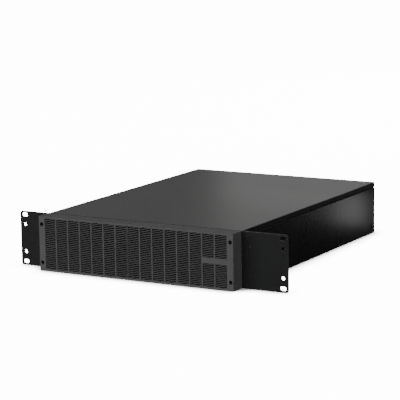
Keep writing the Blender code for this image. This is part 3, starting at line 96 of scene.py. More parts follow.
# Materials
DULL = 0.75  # the roughness below a split, where the tone is painted shade
BARE_STEEL = (0.12, 0.12, 0.12)
WEAR_STARTS = 0.995  # the cosine between a face's normal and the one of its rounded edge
WEAR_FULL = 0.8
SPLIT_BLUR = 0.2 * MM
NOISE_LOW = 0.3  # the stretch of a noise's values that is spread over the roughness
NOISE_HIGH = 0.7
WAVE_REPEAT = 0.314  # how far apart a wave texture's stripes are at a scale of 1
WAVE_WANDER = 0.4
DRAWN_STRETCH = (1, 0.02, 1)

# Meshes
BEVEL_ANGLE = math.radians(40)
RING_STEPS = 64
WIRE_STEPS = 12
FORWARD = (0, -1, 0)
REARWARD = (0, 1, 0)
RIM_SHARE = 0.9  # beyond this share of the radius a turned piece is knurled or has flats

# How far the edges of some CAD nodes are rounded
EASED = {
    "top_cover": 0.5 * MM,
    "chassis_base": 0.3 * MM,
    "rack_ear_left": 0.35 * MM,
    "rack_ear_right": 0.35 * MM,
    "power_inlet": 0.3 * MM,
    "outlet_bank": 0.3 * MM,
    "expansion_connector": 0.3 * MM,
    "port_block": 0.2 * MM,
    "switch_housing": 0.25 * MM,
    "switch_rocker": 0.3 * MM,
    "slot_cover": 0.2 * MM,
    "battery_1": 0.3 * MM,
    "battery_2": 0.3 * MM,
    "battery_3": 0.3 * MM,
}

# Rear fittings, where the frame's moulding has its openings
REAR_FACE = 248.3 * MM
SLOT_COVER_FACE = 250.3 * MM
INLET_MIDDLE = (134.3 * MM, 24 * MM)
INLET_FLOOR = REAR_FACE - 15 * MM
INLET_PINS = ((-7 * MM, -2 * MM), (0, 2 * MM), (7 * MM, -2 * MM))
PIN_HALF = (1.05 * MM, 2.05 * MM)
PIN_TIP = REAR_FACE + 1.05 * MM
OUTLET_MIDDLES = tuple((x * MM, 24 * MM) for x in (-4.7, 25.3, 55.3, 85.3))
OUTLET_FACE = REAR_FACE + 1.5 * MM
OUTLET_SLOTS = ((-7 * MM, 2 * MM), (0, -2 * MM), (7 * MM, 2 * MM))
LEAF_HALF = (0.2 * MM, 2.1 * MM)
LEAF_OFFSET = 0.85 * MM
LEAF_NEAR = OUTLET_FACE - 9.5 * MM
LEAF_FAR = OUTLET_FACE - 1.2 * MM
SERIAL_MIDDLE = (-5.7 * MM, 70.9 * MM)
USB_MIDDLE = (-5.7 * MM, 60.45 * MM)
NETWORK_MIDDLES = ((14.3 * MM, 70.9 * MM), (14.3 * MM, 60.45 * MM))
PORT_FLOOR = REAR_FACE - 12 * MM
PORT_FACE = REAR_FACE + 1 * MM
SERIAL_CARRIER = (7.4 * MM, 2.7 * MM)
SERIAL_CARRIER_END = PORT_FACE - 5 * MM
SERIAL_ROWS = ((1.1 * MM, 5), (-1.1 * MM, 4))
SERIAL_PITCH_MM = 2.7
SERIAL_PIN = 0.45 * MM
SERIAL_PIN_ENDS = (PORT_FACE - 6 * MM, PORT_FACE - 1 * MM)
USB_TONGUE = (2.8 * MM, 1.6 * MM)
USB_TONGUE_END = PORT_FACE - 1.5 * MM
USB_CONTACT = (0.5 * MM, 0.12 * MM)
USB_CONTACT_PLACE = (1.4 * MM, 1.65 * MM)
USB_CONTACT_END = PORT_FACE - 2 * MM
NETWORK_WIRES = 8
NETWORK_PITCH_MM = 1.02
NETWORK_WIRE = 0.22 * MM
NETWORK_WIRE_ENDS = (PORT_FACE - 3 * MM, PORT_FLOOR + 1 * MM)
NETWORK_WIRE_HEIGHTS = (-2.9 * MM, -0.4 * MM)
EXPANSION_BLADE = (2.6 * MM, 0.8 * MM)
EXPANSION_BLADE_END = REAR_FACE + 2 * MM
EXPANSION_MIDDLES = ((-28.7 * MM, 17 * MM), (-28.7 * MM, 31 * MM))
FAN_X = (-144.7 * MM, -69.7 * MM)
FAN_Z = 44 * MM
GUARD_RINGS = (8 * MM, 14.5 * MM, 21 * MM, 28 * MM)
GUARD_WIRE = 0.85 * MM
GUARD_EYE = 30 * MM
GUARD_SPOKE_BACK = 1.6 * GUARD_WIRE
GUARD_SCREW = (  # its outline's radii and heights
    (0, 3.4 * MM),
    (1.2 * MM, 3.3 * MM),
    (2.1 * MM, 2.9 * MM),
    (2.6 * MM, 2.2 * MM),
    (2.6 * MM, 1.4 * MM),
    (3 * MM, 1.2 * MM),
    (3 * MM, 0),
    (0, 0),
)
HUB_RADIUS = 15 * MM
HUB_EDGE = 0.6 * MM
HUB_CROWN = 2 * MM
AXLE_RADIUS = 1.4 * MM
AXLE_LENGTH = 3 * MM

# Fan blades, whose pitch and chord change evenly from the root to the tip
BLADES = 7
BLADE_STATIONS = 8
BLADE_POINTS = 9
BLADE_TIP = 31.4 * MM
BLADE_OVERLAP = 1 * MM
ROOT_PITCH = 50
PITCH_LOSS = 20
ROOT_CHORD_MM = 12
CHORD_GAIN_MM = 7
BLADE_SWEEP = 0.35
BLADE_EDGE = 0.25 * MM
BLADE_BELLY = 0.55 * MM
BELLY_LOSS = 0.3
BLADE_CAMBER = 1.3 * MM

# Thumbscrews: shares of the head's radius, and lengths
KNURLS = 28
KNURL_STEPS = 6
KNURL_DEPTH = 0.035
THUMB_CROWN = 0.7
THUMB_NECK = 0.88
THUMB_CHAMFER = (0.5 * MM, 0.9 * MM)
THUMB_SHANK = 1.5 * MM
THUMB_TIP = 1 * MM
DRIVER_SLOT = (0.45 * MM, 1.1 * MM)

# Ground stud, its washer and its nut
STUD_RADIUS = 2.1 * MM
STUD_TIP = 0.5 * MM
THREAD_PITCH = 0.7 * MM
THREAD_DEPTH = 0.3 * MM
WASHER_SEAT = REAR_FACE + 0.3 * MM
WASHER_HEIGHT = 0.6 * MM
NUT_SEAT = WASHER_SEAT + 0.65 * MM
NUT_HEIGHT = 2.9 * MM
NUT_SHOULDER = 2.6 * MM
NUT_CROWN = 0.86

# Socket screws: the head is as tall as the smaller share of its radius or the screw's length,
# its socket goes down by a share of that, and the rest are shares of its radius or of the rim
HEAD_TO_RADIUS = 0.75
HEAD_TO_LENGTH = 0.5
KEY_DEPTH = 0.6
KEY = 0.5
SHANK = 0.5
RIM = 0.12
RIM_EASE = 0.3

# Bezel and its grille
LEFT_COLUMNS = 7
RIGHT_COLUMNS = 8
COLUMN_PITCH = 22 * MM
RIB = 2.0 * MM
SIDE_STRIP = 10 * MM
TOP_STRIP = 3 * MM
BOTTOM_STRIP = 3.5 * MM
SHELL_WALL = 2.5 * MM
FACE_WALL = 3 * MM
SLAT_PITCH = 3.5 * MM
SLAT_HEIGHT = 2.1 * MM
SLAT_SETBACK = 0.5 * MM
SLAT_DEPTH = 6.1 * MM  # clear of the drawer's handle when it swings out
SLAT_TILT = math.radians(13)
BAR_HEIGHT = 9 * MM
BAR_COLUMNS = 2
SCREW_HEIGHTS = (13.5 * MM, 75 * MM)
SCREW_RECESS = 3.1 * MM
WELL_WALL = 1.3 * MM
WELL_FLOOR = 8 * MM
BEZEL_EDGE = 0.7 * MM
SLAT_EDGE = 0.25 * MM
SLAT_OVERLAP = RIB / 8


# ------------------------------------------------------------ camera, lights, floor


def add_camera():
    back = Vector(
        (
            math.sin(AZIMUTH) * math.cos(ELEVATION),
            -math.cos(AZIMUTH) * math.cos(ELEVATION),
            math.sin(ELEVATION),
        )
    )
    right = (-back).cross(Vector((0, 0, 1))).normalized()
    up = right.cross(-back)
    rolled_right = math.cos(ROLL) * right + math.sin(ROLL) * up
    rolled_up = math.cos(ROLL) * up - math.sin(ROLL) * right
    turn = Matrix((rolled_right, rolled_up, back)).transposed().to_4x4()
    data = bpy.data.cameras.new("camera")
    data.lens = LENS_MM
    data.sensor_width = SENSOR_MM
    data.clip_end = CAMERA_REACH
    camera = bpy.data.objects.new("camera", data)
    camera.matrix_world = Matrix.Translation(TARGET + back * DISTANCE) @ turn
    bpy.context.scene.collection.objects.link(camera)
    bpy.context.scene.camera = camera


def add_light(name, place, aim, size, power):
    """A rectangular softbox that isn't itself in the picture."""
    data = bpy.data.lights.new(name, "AREA")
    data.shape = "RECTANGLE"
    data.size, data.size_y = size
    data.energy = power
    light = bpy.data.objects.new(name, data)
    light.location = place
    light.rotation_euler = (Vector(place) - Vector(aim)).to_track_quat("Z", "Y").to_euler()
    light.visible_camera = False
    bpy.context.scene.collection.objects.link(light)
    return light


def add_fill(name, place, aim, size, power):
    """A softbox of which only a share shows as gloss, as through crossed polarisers."""
    matt = add_light(f"{name}_matt", place, aim, size, power * (1 - FILL_GLOSS))
    matt.visible_glossy = False
    add_light(f"{name}_gloss", place, aim, size, power * FILL_GLOSS)


def add_room():
    """A dim, even room, under a ceiling that shows only as a sheen on glossy surfaces."""
    world = bpy.data.worlds.new("studio")
    world.use_nodes = True
    sky = world.node_tree.nodes["Background"]
    sky.inputs["Color"].default_value = (1, 1, 1, 1)
    sky.inputs["Strength"].default_value = ROOM_LIGHT
    bpy.context.scene.world = world
    add_light(*CEILING).visible_diffuse = False


def floor_glass():
    """A white light table, dimmed only where the object stands on it or just over it: a painted
    contact shadow.
    """
    glass = bpy.data.materials.new("floor_glass")
    glass.use_nodes = True
    tree = glass.node_tree
    shader = tree.nodes["Principled BSDF"]
    shader.inputs["Base Color"].default_value = FLOOR_WHITE
    shader.inputs["Roughness"].default_value = FLOOR_ROUGHNESS
    shader.inputs["Specular IOR Level"].default_value = 0
    shader.inputs["Emission Strength"].default_value = FLOOR_GLOW
    # painted contact shadow: ambient occlusion darkens the floor's glow near the object
    near = tree.nodes.new("ShaderNodeAmbientOcclusion")
    near.inputs["Distance"].default_value = CONTACT_REACH
    near.samples = CONTACT_SAMPLES
    ramp = tree.nodes.new("ShaderNodeValToRGB")
    ramp.color_ramp.elements[0].position = CONTACT_START
    ramp.color_ramp.elements[0].color = CONTACT_SHADOW_TONE
    tree.links.new(near.outputs["AO"], ramp.inputs["Fac"])
    tree.links.new(ramp.outputs["Color"], shader.inputs["Emission Color"])
    return glass


def add_studio():
    """The floor, which neither lights the object nor shows in it, and the lights."""
    bpy.ops.mesh.primitive_plane_add(size=FLOOR_SIZE, location=(0, 0, 0))
    floor = bpy.context.object
    floor.name = "floor"
    floor.visible_diffuse = False
    floor.visible_glossy = False
    floor.visible_shadow = False
    floor.data.materials.append(floor_glass())
    add_room()
    for light in SOFTBOXES:
        add_light(*light)
    for fill in FILLS:
        add_fill(*fill)


# ------------------------------------------------------------ materials


class Paint:
    """A Principled material whose nodes are added by short calls."""

    def __init__(self, name):
        self.material = bpy.data.materials.new(name)
        self.material.use_nodes = True
        self.tree = self.material.node_tree
        self.shader = self.tree.nodes["Principled BSDF"]
        coords = self.tree.nodes.new("ShaderNodeTexCoord")
        self.place = coords.outputs["Object"]
        self.above = None

    def join(self, output, entry):
        self.tree.links.new(output, entry)

    def stretch(self, scale):
        """Object coordinates scaled by axis, for drawn or brushed grain."""
        mapping = self.tree.nodes.new("ShaderNodeMapping")
        mapping.inputs["Scale"].default_value = scale
        self.join(self.place, mapping.inputs["Vector"])
        return mapping.outputs["Vector"]

    def noise(self, size, detail, place=None):
        """Noise whose features are about as large as size, in metres."""
        node = self.tree.nodes.new("ShaderNodeTexNoise")
        node.inputs["Scale"].default_value = 1 / size
        node.inputs["Detail"].default_value = detail
        self.join(place or self.place, node.inputs["Vector"])
        return node.outputs["Fac"]

    def cells(self, size, output="Color"):
        node = self.tree.nodes.new("ShaderNodeTexVoronoi")
        node.inputs["Scale"].default_value = 1 / size
        self.join(self.place, node.inputs["Vector"])
        return node.outputs[output]

    def bands(self, size, direction):
        """Even stripes across an axis."""
        node = self.tree.nodes.new("ShaderNodeTexWave")
        node.bands_direction = direction
        node.inputs["Scale"].default_value = WAVE_REPEAT / size
        node.inputs["Distortion"].default_value = WAVE_WANDER
        self.join(self.place, node.inputs["Vector"])
        return node.outputs["Fac"]

    def colour(self, fac, first, second, low=0.35, high=0.65):
        ramp = self.tree.nodes.new("ShaderNodeValToRGB")
        ramp.color_ramp.elements[0].position = low
        ramp.color_ramp.elements[0].color = (*first, 1)
        ramp.color_ramp.elements[1].position = high
        ramp.color_ramp.elements[1].color = (*second, 1)
        self.join(fac, ramp.inputs["Fac"])
        return ramp.outputs["Color"]

    def lighten_edges(self, base, bare, radius, amount):
        """The base colour, lightened towards a bare one along the edges: rubbed wear, and at a high
        amount, as on the ears, a painted edge highlight too.
        """
        nodes = self.tree.nodes
        soft = nodes.new("ShaderNodeBevel")
        soft.inputs["Radius"].default_value = radius
        plain = nodes.new("ShaderNodeNewGeometry")
        dot = nodes.new("ShaderNodeVectorMath")
        dot.operation = "DOT_PRODUCT"
        self.join(soft.outputs["Normal"], dot.inputs[0])
        self.join(plain.outputs["Normal"], dot.inputs[1])
        edge = nodes.new("ShaderNodeMapRange")
        edge.inputs["From Min"].default_value = WEAR_STARTS
        edge.inputs["From Max"].default_value = WEAR_FULL
        edge.inputs["To Max"].default_value = amount
        self.join(dot.outputs["Value"], edge.inputs["Value"])
        mix = nodes.new("ShaderNodeMix")
        mix.data_type = "RGBA"
        self.join(edge.outputs["Result"], mix.inputs["Factor"])
        self.join(base, mix.inputs["A"])
        mix.inputs["B"].default_value = (*bare, 1)
        return mix.outputs["Result"]

    def below(self, base, height, thin):
        """Painted shade: another, darker tone for what lies below a height in the object."""
        nodes = self.tree.nodes
        split = nodes.new("ShaderNodeSeparateXYZ")
        self.join(self.place, split.inputs["Vector"])
        step = nodes.new("ShaderNodeMapRange")
        step.inputs["From Min"].default_value = height - SPLIT_BLUR
        step.inputs["From Max"].default_value = height + SPLIT_BLUR
        self.join(split.outputs["Z"], step.inputs["Value"])
        self.above = step.outputs["Result"]
        mix = nodes.new("ShaderNodeMix")
        mix.data_type = "RGBA"
        self.join(self.above, mix.inputs["Factor"])
        mix.inputs["A"].default_value = (*thin, 1)
        self.join(base, mix.inputs["B"])
        return mix.outputs["Result"]

    def base(self, colour):
        self.join(colour, self.shader.inputs["Base Color"])

    def rough(self, fac, low, high):
        """Roughness that follows a pattern. What lies below a split is dull instead."""
        spread = self.tree.nodes.new("ShaderNodeMapRange")
        spread.interpolation_type = "SMOOTHSTEP"
        spread.inputs["From Min"].default_value = NOISE_LOW
        spread.inputs["From Max"].default_value = NOISE_HIGH
        spread.inputs["To Min"].default_value = low
        spread.inputs["To Max"].default_value = high
        self.join(fac, spread.inputs["Value"])
        roughness = spread.outputs["Result"]
        if self.above:
            mix = self.tree.nodes.new("ShaderNodeMix")
            self.join(self.above, mix.inputs["Factor"])
            mix.inputs["A"].default_value = DULL
            self.join(roughness, mix.inputs["B"])
            roughness = mix.outputs["Result"]
        self.join(roughness, self.shader.inputs["Roughness"])

    def bump(self, fac, height, strength):
        node = self.tree.nodes.new("ShaderNodeBump")
        node.inputs["Distance"].default_value = height
        node.inputs["Strength"].default_value = strength
        self.join(fac, node.inputs["Height"])
        self.join(node.outputs["Normal"], self.shader.inputs["Normal"])

    def constant(self, name, value):
        self.shader.inputs[name].default_value = value


def coated(name, dark, light, rough, orange_peel, shine, edge_wear_and_highlight=0.25, painted_shade=None):
    """Paint or powder coat on steel: fine orange peel, a slow drift of tone and lightened edges,
    rubbed wear that at a high amount is also a painted edge highlight.

    The last argument, when given, is a height and a tone painted below it: painted shade, a dark
    band where shade falls.
    """
    paint = Paint(name)
    paint.constant("Specular IOR Level", shine)
    tone = paint.colour(paint.noise(size=160 * MM, detail=2), dark, light)
    # painted shade: below the given height the tone is painted dark
    if painted_shade:
        height, thin = painted_shade
        tone = paint.below(tone, height, thin)
    paint.base(paint.lighten_edges(tone, BARE_STEEL, radius=0.5 * MM, amount=edge_wear_and_highlight))
    paint.rough(paint.noise(size=240 * MM, detail=0), *rough)
    paint.bump(paint.noise(size=orange_peel, detail=2), height=0.006 * MM, strength=0.3)
    return paint.material


def moulded(name, dark, light, rough, grain=0.35 * MM, shine=0.3):
    """Moulded plastic with a spark-eroded grain."""
    paint = Paint(name)
    paint.constant("Specular IOR Level", shine)
    tone = paint.colour(paint.noise(size=25 * MM, detail=4), dark, light)
    lighter = tuple(min(1, 1.6 * value + 0.02) for value in light)
    paint.base(paint.lighten_edges(tone, lighter, radius=0.4 * MM, amount=0.15))
    paint.rough(paint.noise(size=2 * MM, detail=4), *rough)
    paint.bump(paint.noise(size=grain, detail=3), height=0.02 * MM, strength=0.6)
    return paint.material


def plated(name, dark, light, rough, spangle):
    """Zinc-plated sheet with crystal-like patches of tone."""
    paint = Paint(name)
    paint.constant("Metallic", 0.92)
    patches = paint.cells(spangle)
    grey = paint.tree.nodes.new("ShaderNodeRGBToBW")
    paint.join(patches, grey.inputs["Color"])
    paint.base(paint.colour(grey.outputs["Val"], dark, light, low=0.1, high=0.9))
    paint.rough(paint.noise(size=4 * MM, detail=5), *rough)
    paint.bump(paint.noise(size=0.6 * MM, detail=4), height=0.01 * MM, strength=0.4)
    return paint.material


def drawn(name, dark, light, rough):
    """Bright metal with fine lines drawn along one axis."""
    paint = Paint(name)
    paint.constant("Metallic", 1.0)
    lines = paint.noise(size=0.5 * MM, detail=3, place=paint.stretch(DRAWN_STRETCH))
    paint.base(paint.colour(lines, dark, light, low=0.3, high=0.7))
    paint.rough(lines, *rough)
    paint.bump(lines, height=0.01 * MM, strength=0.5)
    return paint.material


def circuit_board():
    """Solder mask with traces and a drift of tone."""
    paint = Paint("circuit_board")
    lanes = paint.cells(5 * MM, "Distance")
    mask = paint.colour(lanes, (0.008, 0.075, 0.03), (0.02, 0.16, 0.07), low=0.2, high=0.5)
    paint.base(mask)
    paint.rough(paint.noise(size=8 * MM, detail=4), low=0.25, high=0.45)
    paint.bump(lanes, height=0.05 * MM, strength=0.4)
    return paint.material


def winding(name, dark, light, turn, direction):
    """Enamelled wire wound close."""
    paint = Paint(name)
    paint.constant("Metallic", 0.75)
    turns = paint.bands(turn, direction)
    paint.base(paint.colour(turns, dark, light, low=0.2, high=0.8))
    paint.rough(paint.noise(size=3 * MM, detail=3), low=0.25, high=0.4)
    paint.bump(turns, height=0.3 * MM, strength=0.7)
    return paint.material


COVER = coated(
    "cover_coat",
    (0.023, 0.0225, 0.022),
    (0.027, 0.0265, 0.026),
    rough=(0.32, 0.345),
    orange_peel=2.2 * MM,
    shine=0.3,
    edge_wear_and_highlight=0.1,
    # painted shade: the flange below 87 mm is painted near black, and dull, for the dark band that
    # shade makes there
    painted_shade=(87 * MM, (0.002, 0.002, 0.002)),
)
CASE = coated(
    "case_coat",
    (0.004, 0.004, 0.004),
    (0.006, 0.006, 0.006),
    rough=(0.27, 0.285),
    orange_peel=2.4 * MM,
    shine=0.14,
    edge_wear_and_highlight=0.12,
)
# painted highlight: the ears' edges are lightened strongly towards bare steel, partly as wear and
# partly for the light that catches them
EAR = coated(
    "ear_coat",
    (0.013, 0.013, 0.0135),
    (0.015, 0.015, 0.0155),
    rough=(0.38, 0.44),
    orange_peel=1.8 * MM,
    shine=0.2,
    edge_wear_and_highlight=0.9,
)
REAR = coated(
    "rear_coat",
    (0.022, 0.022, 0.022),
    (0.028, 0.028, 0.028),
    rough=(0.4, 0.5),
    orange_peel=0.7 * MM,
    shine=0.3,
)
BEZEL = moulded(
    "bezel_grain", (0.07, 0.07, 0.0705), (0.078, 0.078, 0.0785), rough=(0.5, 0.6), shine=0.12
)
# painted shade: the slats are a darker copy of the bezel's moulding, for the shade in the recessed
# grille
SHADED_SLAT = moulded(
    "slat_grain_painted_shade", (0.042, 0.042, 0.0425), (0.048, 0.048, 0.0485), rough=(0.5, 0.62), shine=0.15
)
BLACK = moulded("black_moulding", (0.013, 0.013, 0.013), (0.020, 0.020, 0.020), (0.32, 0.46))
PALE = moulded("contact_carrier", (0.16, 0.15, 0.13), (0.22, 0.21, 0.18), (0.4, 0.55))
GREY_CASE = moulded("battery_moulding", (0.105, 0.11, 0.115), (0.12, 0.125, 0.13), (0.5, 0.62))
RED = moulded(
    "red_insulation", (0.32, 0.012, 0.01), (0.45, 0.02, 0.016), rough=(0.3, 0.42), grain=1.5 * MM
)
SLEEVE = moulded(
    "capacitor_film", (0.015, 0.03, 0.08), (0.025, 0.05, 0.12), rough=(0.2, 0.3), grain=3 * MM
)
ZINC = plated(
    "zinc_plate", (0.36, 0.37, 0.38), (0.58, 0.59, 0.6), rough=(0.28, 0.42), spangle=7 * MM
)
OXIDE = plated(
    "black_oxide", (0.025, 0.025, 0.026), (0.05, 0.05, 0.052), rough=(0.3, 0.45), spangle=1 * MM
)
DRAWN = drawn("drawn_aluminium", (0.55, 0.56, 0.57), (0.75, 0.76, 0.77), (0.25, 0.42))
BRASS = drawn("plated_brass", (0.55, 0.45, 0.25), (0.72, 0.6, 0.36), (0.2, 0.35))
COPPER_PLATE = drawn("copper_plate", (0.5, 0.2, 0.08), (0.72, 0.34, 0.16), (0.25, 0.4))
BOARD = circuit_board()
COPPER = winding(
    "copper_winding", (0.28, 0.09, 0.03), (0.62, 0.25, 0.1), turn=1.2 * MM, direction="X"
)


def material_of(node):
    """The finish of a CAD node, by its name."""
    rules = (
        (("top_cover",), COVER),
        (("chassis_base",), CASE),
        (("rack_ear",), EAR),
        (("rear_panel", "slot_cover", "front_frame"), REAR),
        (("bezel_screw", "ear_screw", "case_screw", "port_block"), OXIDE),
        (("slot_thumbscrew", "ground_stud", "fan_guard"), DRAWN),
        (("drawer_handle",), OXIDE),
        (("battery_tray",), REAR),
        (("bay_divider",), ZINC),
        (("battery_link", "battery_lead", "expansion", "breaker_button"), RED),
        (("battery_plug", "battery_socket"), BLACK),
        (("battery_",), GREY_CASE),
        (("power_board", "control_board"), BOARD),
        (("heatsink",), DRAWN),
        (("toroid_choke",), COPPER),
        (("bus_capacitor",), SLEEVE),
        (("charger_transformer",), OXIDE),
        (("bezel_",), BEZEL),
    )
    for starts, paint in rules:
        if node.startswith(starts):
            return paint
    return BLACK


def paint_frame():
    for name, obj in frame["nodes"].items():
        if not obj.material_slots:
            obj.data.materials.append(None)
        for holder in obj.material_slots:
            holder.material = material_of(name)


# ------------------------------------------------------------ mesh helpers


def piece(name, bm, paint, body):
    """A mesh as a piece that rides on a CAD body."""
    bmesh.ops.recalc_face_normals(bm, faces=bm.faces)
    mesh = bpy.data.meshes.new(name)
    bm.to_mesh(mesh)
    bm.free()
    obj = bpy.data.objects.new(name, mesh)
    bpy.context.scene.collection.objects.link(obj)
    mesh.materials.append(paint)
    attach(obj, body)
    return obj


def facing(direction, place):
    """A matrix that turns +Z to a direction and moves to a place."""
    turn = Vector(direction).to_track_quat("Z", "Y").to_matrix().to_4x4()
    return Matrix.Translation(place) @ turn


def cuboid(bm, low, high):
    """Adds a block between two corners, and gives its vertices."""
    low, high = Vector(low), Vector(high)
    place = Matrix.Translation((low + high) / 2) @ Matrix.Diagonal((*(high - low), 1))
    return bmesh.ops.create_cube(bm, size=1, matrix=place)["verts"]


def rod(bm, start, end, radius, sides=24):
    start, end = Vector(start), Vector(end)
    bmesh.ops.create_cone(
        bm,
        cap_ends=True,
        segments=sides,
        radius1=radius,
        radius2=radius,
        depth=(end - start).length,
        matrix=facing(end - start, (start + end) / 2),
    )


def smooth(obj, angle=35):
    """Smooth shading, with sharp edges kept where the surface turns by more than the angle."""
    obj.data.polygons.foreach_set("use_smooth", [True] * len(obj.data.polygons))
    obj.data.set_sharp_from_angle(angle=math.radians(angle))


def lathe(bm, profile, matrix, steps=40, wobble=None):
    """A turned solid: profile runs (radius, height) from one end of the axis to the other.

    wobble gives a share of the radius from an angle and that radius, for knurls and hexagons.
    """
    rings = []
    for radius, height in profile:
        if radius == 0:
            rings.append([bm.verts.new(matrix @ Vector((0, 0, height)))])
            continue
        loop = []
        for step in range(steps):
            angle = 2 * math.pi * step / steps
            reach = radius * (wobble(angle, radius) if wobble else 1)
            place = Vector((reach * math.cos(angle), reach * math.sin(angle), height))
            loop.append(bm.verts.new(matrix @ place))
        rings.append(loop)
    for first, second in zip(rings, rings[1:]):
        for step in range(steps):
            after = (step + 1) % steps
            if len(first) == 1:
                bm.faces.new((first[0], second[step], second[after]))
            elif len(second) == 1:
                bm.faces.new((first[step], second[0], first[after]))
            else:
                bm.faces.new((first[step], second[step], second[after], first[after]))


def bridge(bm, first, second):
    """A band of faces between two closed loops that have as many points."""
    for point in range(len(first)):
        after = (point + 1) % len(first)
        bm.faces.new((first[point], first[after], second[after], second[point]))


def ring(bm, centre, major, minor):
    """A wire ring in the XZ plane."""
    loops = []
    for step in range(RING_STEPS):
        angle = 2 * math.pi * step / RING_STEPS
        out = Vector((math.cos(angle), 0, math.sin(angle)))
        loop = []
        for turn in range(WIRE_STEPS):
            tilt = 2 * math.pi * turn / WIRE_STEPS
            reach = out * (major + minor * math.cos(tilt)) + Vector((0, minor * math.sin(tilt), 0))
            loop.append(bm.verts.new(Vector(centre) + reach))
        loops.append(loop)
    for step in range(RING_STEPS):
        bridge(bm, loops[step], loops[(step + 1) % RING_STEPS])


def soften(obj, width, segments=2):
    """Rounds the edges that turn by more than the bevel's angle."""
    bevel = obj.modifiers.new("Soft edges", "BEVEL")
    bevel.width = width
    bevel.segments = segments
    bevel.limit_method = "ANGLE"
    bevel.angle_limit = BEVEL_ANGLE
    bevel.harden_normals = True


def cut(obj, bm, name):
    """Cuts the shapes in bm out of obj and applies the result."""
    mesh = bpy.data.meshes.new(name)
    bm.to_mesh(mesh)
    bm.free()
    cutter = bpy.data.objects.new(name, mesh)
    bpy.context.scene.collection.objects.link(cutter)
    modifier = obj.modifiers.new(name, "BOOLEAN")
    modifier.operation = "DIFFERENCE"
    modifier.object = cutter
    bpy.context.view_layer.update()
    graph = bpy.context.evaluated_depsgraph_get()
    made = bpy.data.meshes.new_from_object(obj.evaluated_get(graph))
    obj.modifiers.clear()
    obj.data = made
    bpy.data.objects.remove(cutter)


# ------------------------------------------------------------ bezel


def column_windows(node, first_x, columns, bar_columns):
    """The openings of the grille as (x low, x high, z low, z high)."""
    low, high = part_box(node)
    bottom, top = low[2] + BOTTOM_STRIP, high[2] - TOP_STRIP
    middle = (low[2] + high[2]) / 2
    for column in range(columns):
        x_low = first_x + column * COLUMN_PITCH + RIB / 2
        x_high = x_low + COLUMN_PITCH - RIB
        if column >= columns - bar_columns:
            yield x_low, x_high, bottom, middle - BAR_HEIGHT / 2
            yield x_low, x_high, middle + BAR_HEIGHT / 2, top
        else:
            yield x_low, x_high, bottom, top


def bezel_shell(name, node, body, windows, screw_x):
    """The deep moulded surround: a hollow cap, open to the rear, with the grille's windows."""
    low, high = (Vector(corner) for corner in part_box(node))
    bm = bmesh.new()
    cuboid(bm, low, high)
    shell = piece(name, bm, BEZEL, body)
    holes = bmesh.new()
    cuboid(
        holes,
        (low.x + SHELL_WALL, low.y + FACE_WALL, low.z + SHELL_WALL),
        (high.x - SHELL_WALL, high.y + SHELL_WALL, high.z - SHELL_WALL),
    )
    cut(shell, holes, name + "_hollow")
    holes = bmesh.new()
    for x_low, x_high, z_low, z_high in windows:
        cuboid(
            holes,
            (x_low, low.y - FACE_WALL, z_low),
            (x_high, low.y + 2 * FACE_WALL, z_high),
        )
    cut(shell, holes, name + "_windows")
    holes = bmesh.new()
    for z in SCREW_HEIGHTS:
        rod(holes, (screw_x, low.y - FACE_WALL, z), (screw_x, high.y, z), SCREW_RECESS)
    cut(shell, holes, name + "_recesses")
    soften(shell, BEZEL_EDGE)
    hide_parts(node)


def screw_wells(name, node, body, screw_x):
    """The tubes that the bezel's recessed screws sit in."""
    low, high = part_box(node)
    bm = bmesh.new()
    wall_y = low[1] + FACE_WALL / 2
    for z in SCREW_HEIGHTS:
        rod(bm, (screw_x, wall_y, z), (screw_x, high[1], z), SCREW_RECESS + WELL_WALL)
    wells = piece(name, bm, BEZEL, body)
    holes = bmesh.new()
    for z in SCREW_HEIGHTS:
        rod(holes, (screw_x, low[1], z), (screw_x, high[1] - WELL_FLOOR, z), SCREW_RECESS)
    cut(wells, holes, name + "_bores")


def slats(name, node, body, windows):
    """Slanted blades across every window, set back from the face and trimmed to it."""
    low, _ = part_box(node)
    front, back = low[1] + SLAT_SETBACK, low[1] + SLAT_DEPTH
    rise = math.tan(SLAT_TILT)
    bm = bmesh.new()
    for x_low, x_high, z_low, z_high in windows:
        column = bmesh.new()
        middle = (x_low + x_high) / 2
        half = (x_high - x_low) / 2 + SLAT_OVERLAP
        overrun = half * rise + SLAT_HEIGHT
        count = math.ceil((z_high - z_low + 2 * overrun) / SLAT_PITCH)
        for index in range(count + 1):
            z = z_low - overrun + index * SLAT_PITCH
            start = (middle - half, front, z - SLAT_HEIGHT / 2)
            end = (middle + half, back, z + SLAT_HEIGHT / 2)
            for vert in cuboid(column, start, end):
                vert.co.z += rise * (vert.co.x - middle)
        trim(column, z_low, z_high)
        part = bpy.data.meshes.new("column")
        column.to_mesh(part)
        column.free()
        bm.from_mesh(part)
        bpy.data.meshes.remove(part)
    blades = piece(name, bm, SHADED_SLAT, body)
    soften(blades, SLAT_EDGE, segments=1)


def trim(bm, z_low, z_high):
    """Keeps what lies between two heights, with the cut ends closed."""
    for height, side in ((z_low, -1), (z_high, 1)):
        bmesh.ops.bisect_plane(
            bm,
            geom=bm.verts[:] + bm.edges[:] + bm.faces[:],
            plane_co=(0, 0, height),
            plane_no=(0, 0, side),
            clear_outer=True,
        )
        bmesh.ops.holes_fill(bm, edges=[edge for edge in bm.edges if edge.is_boundary])


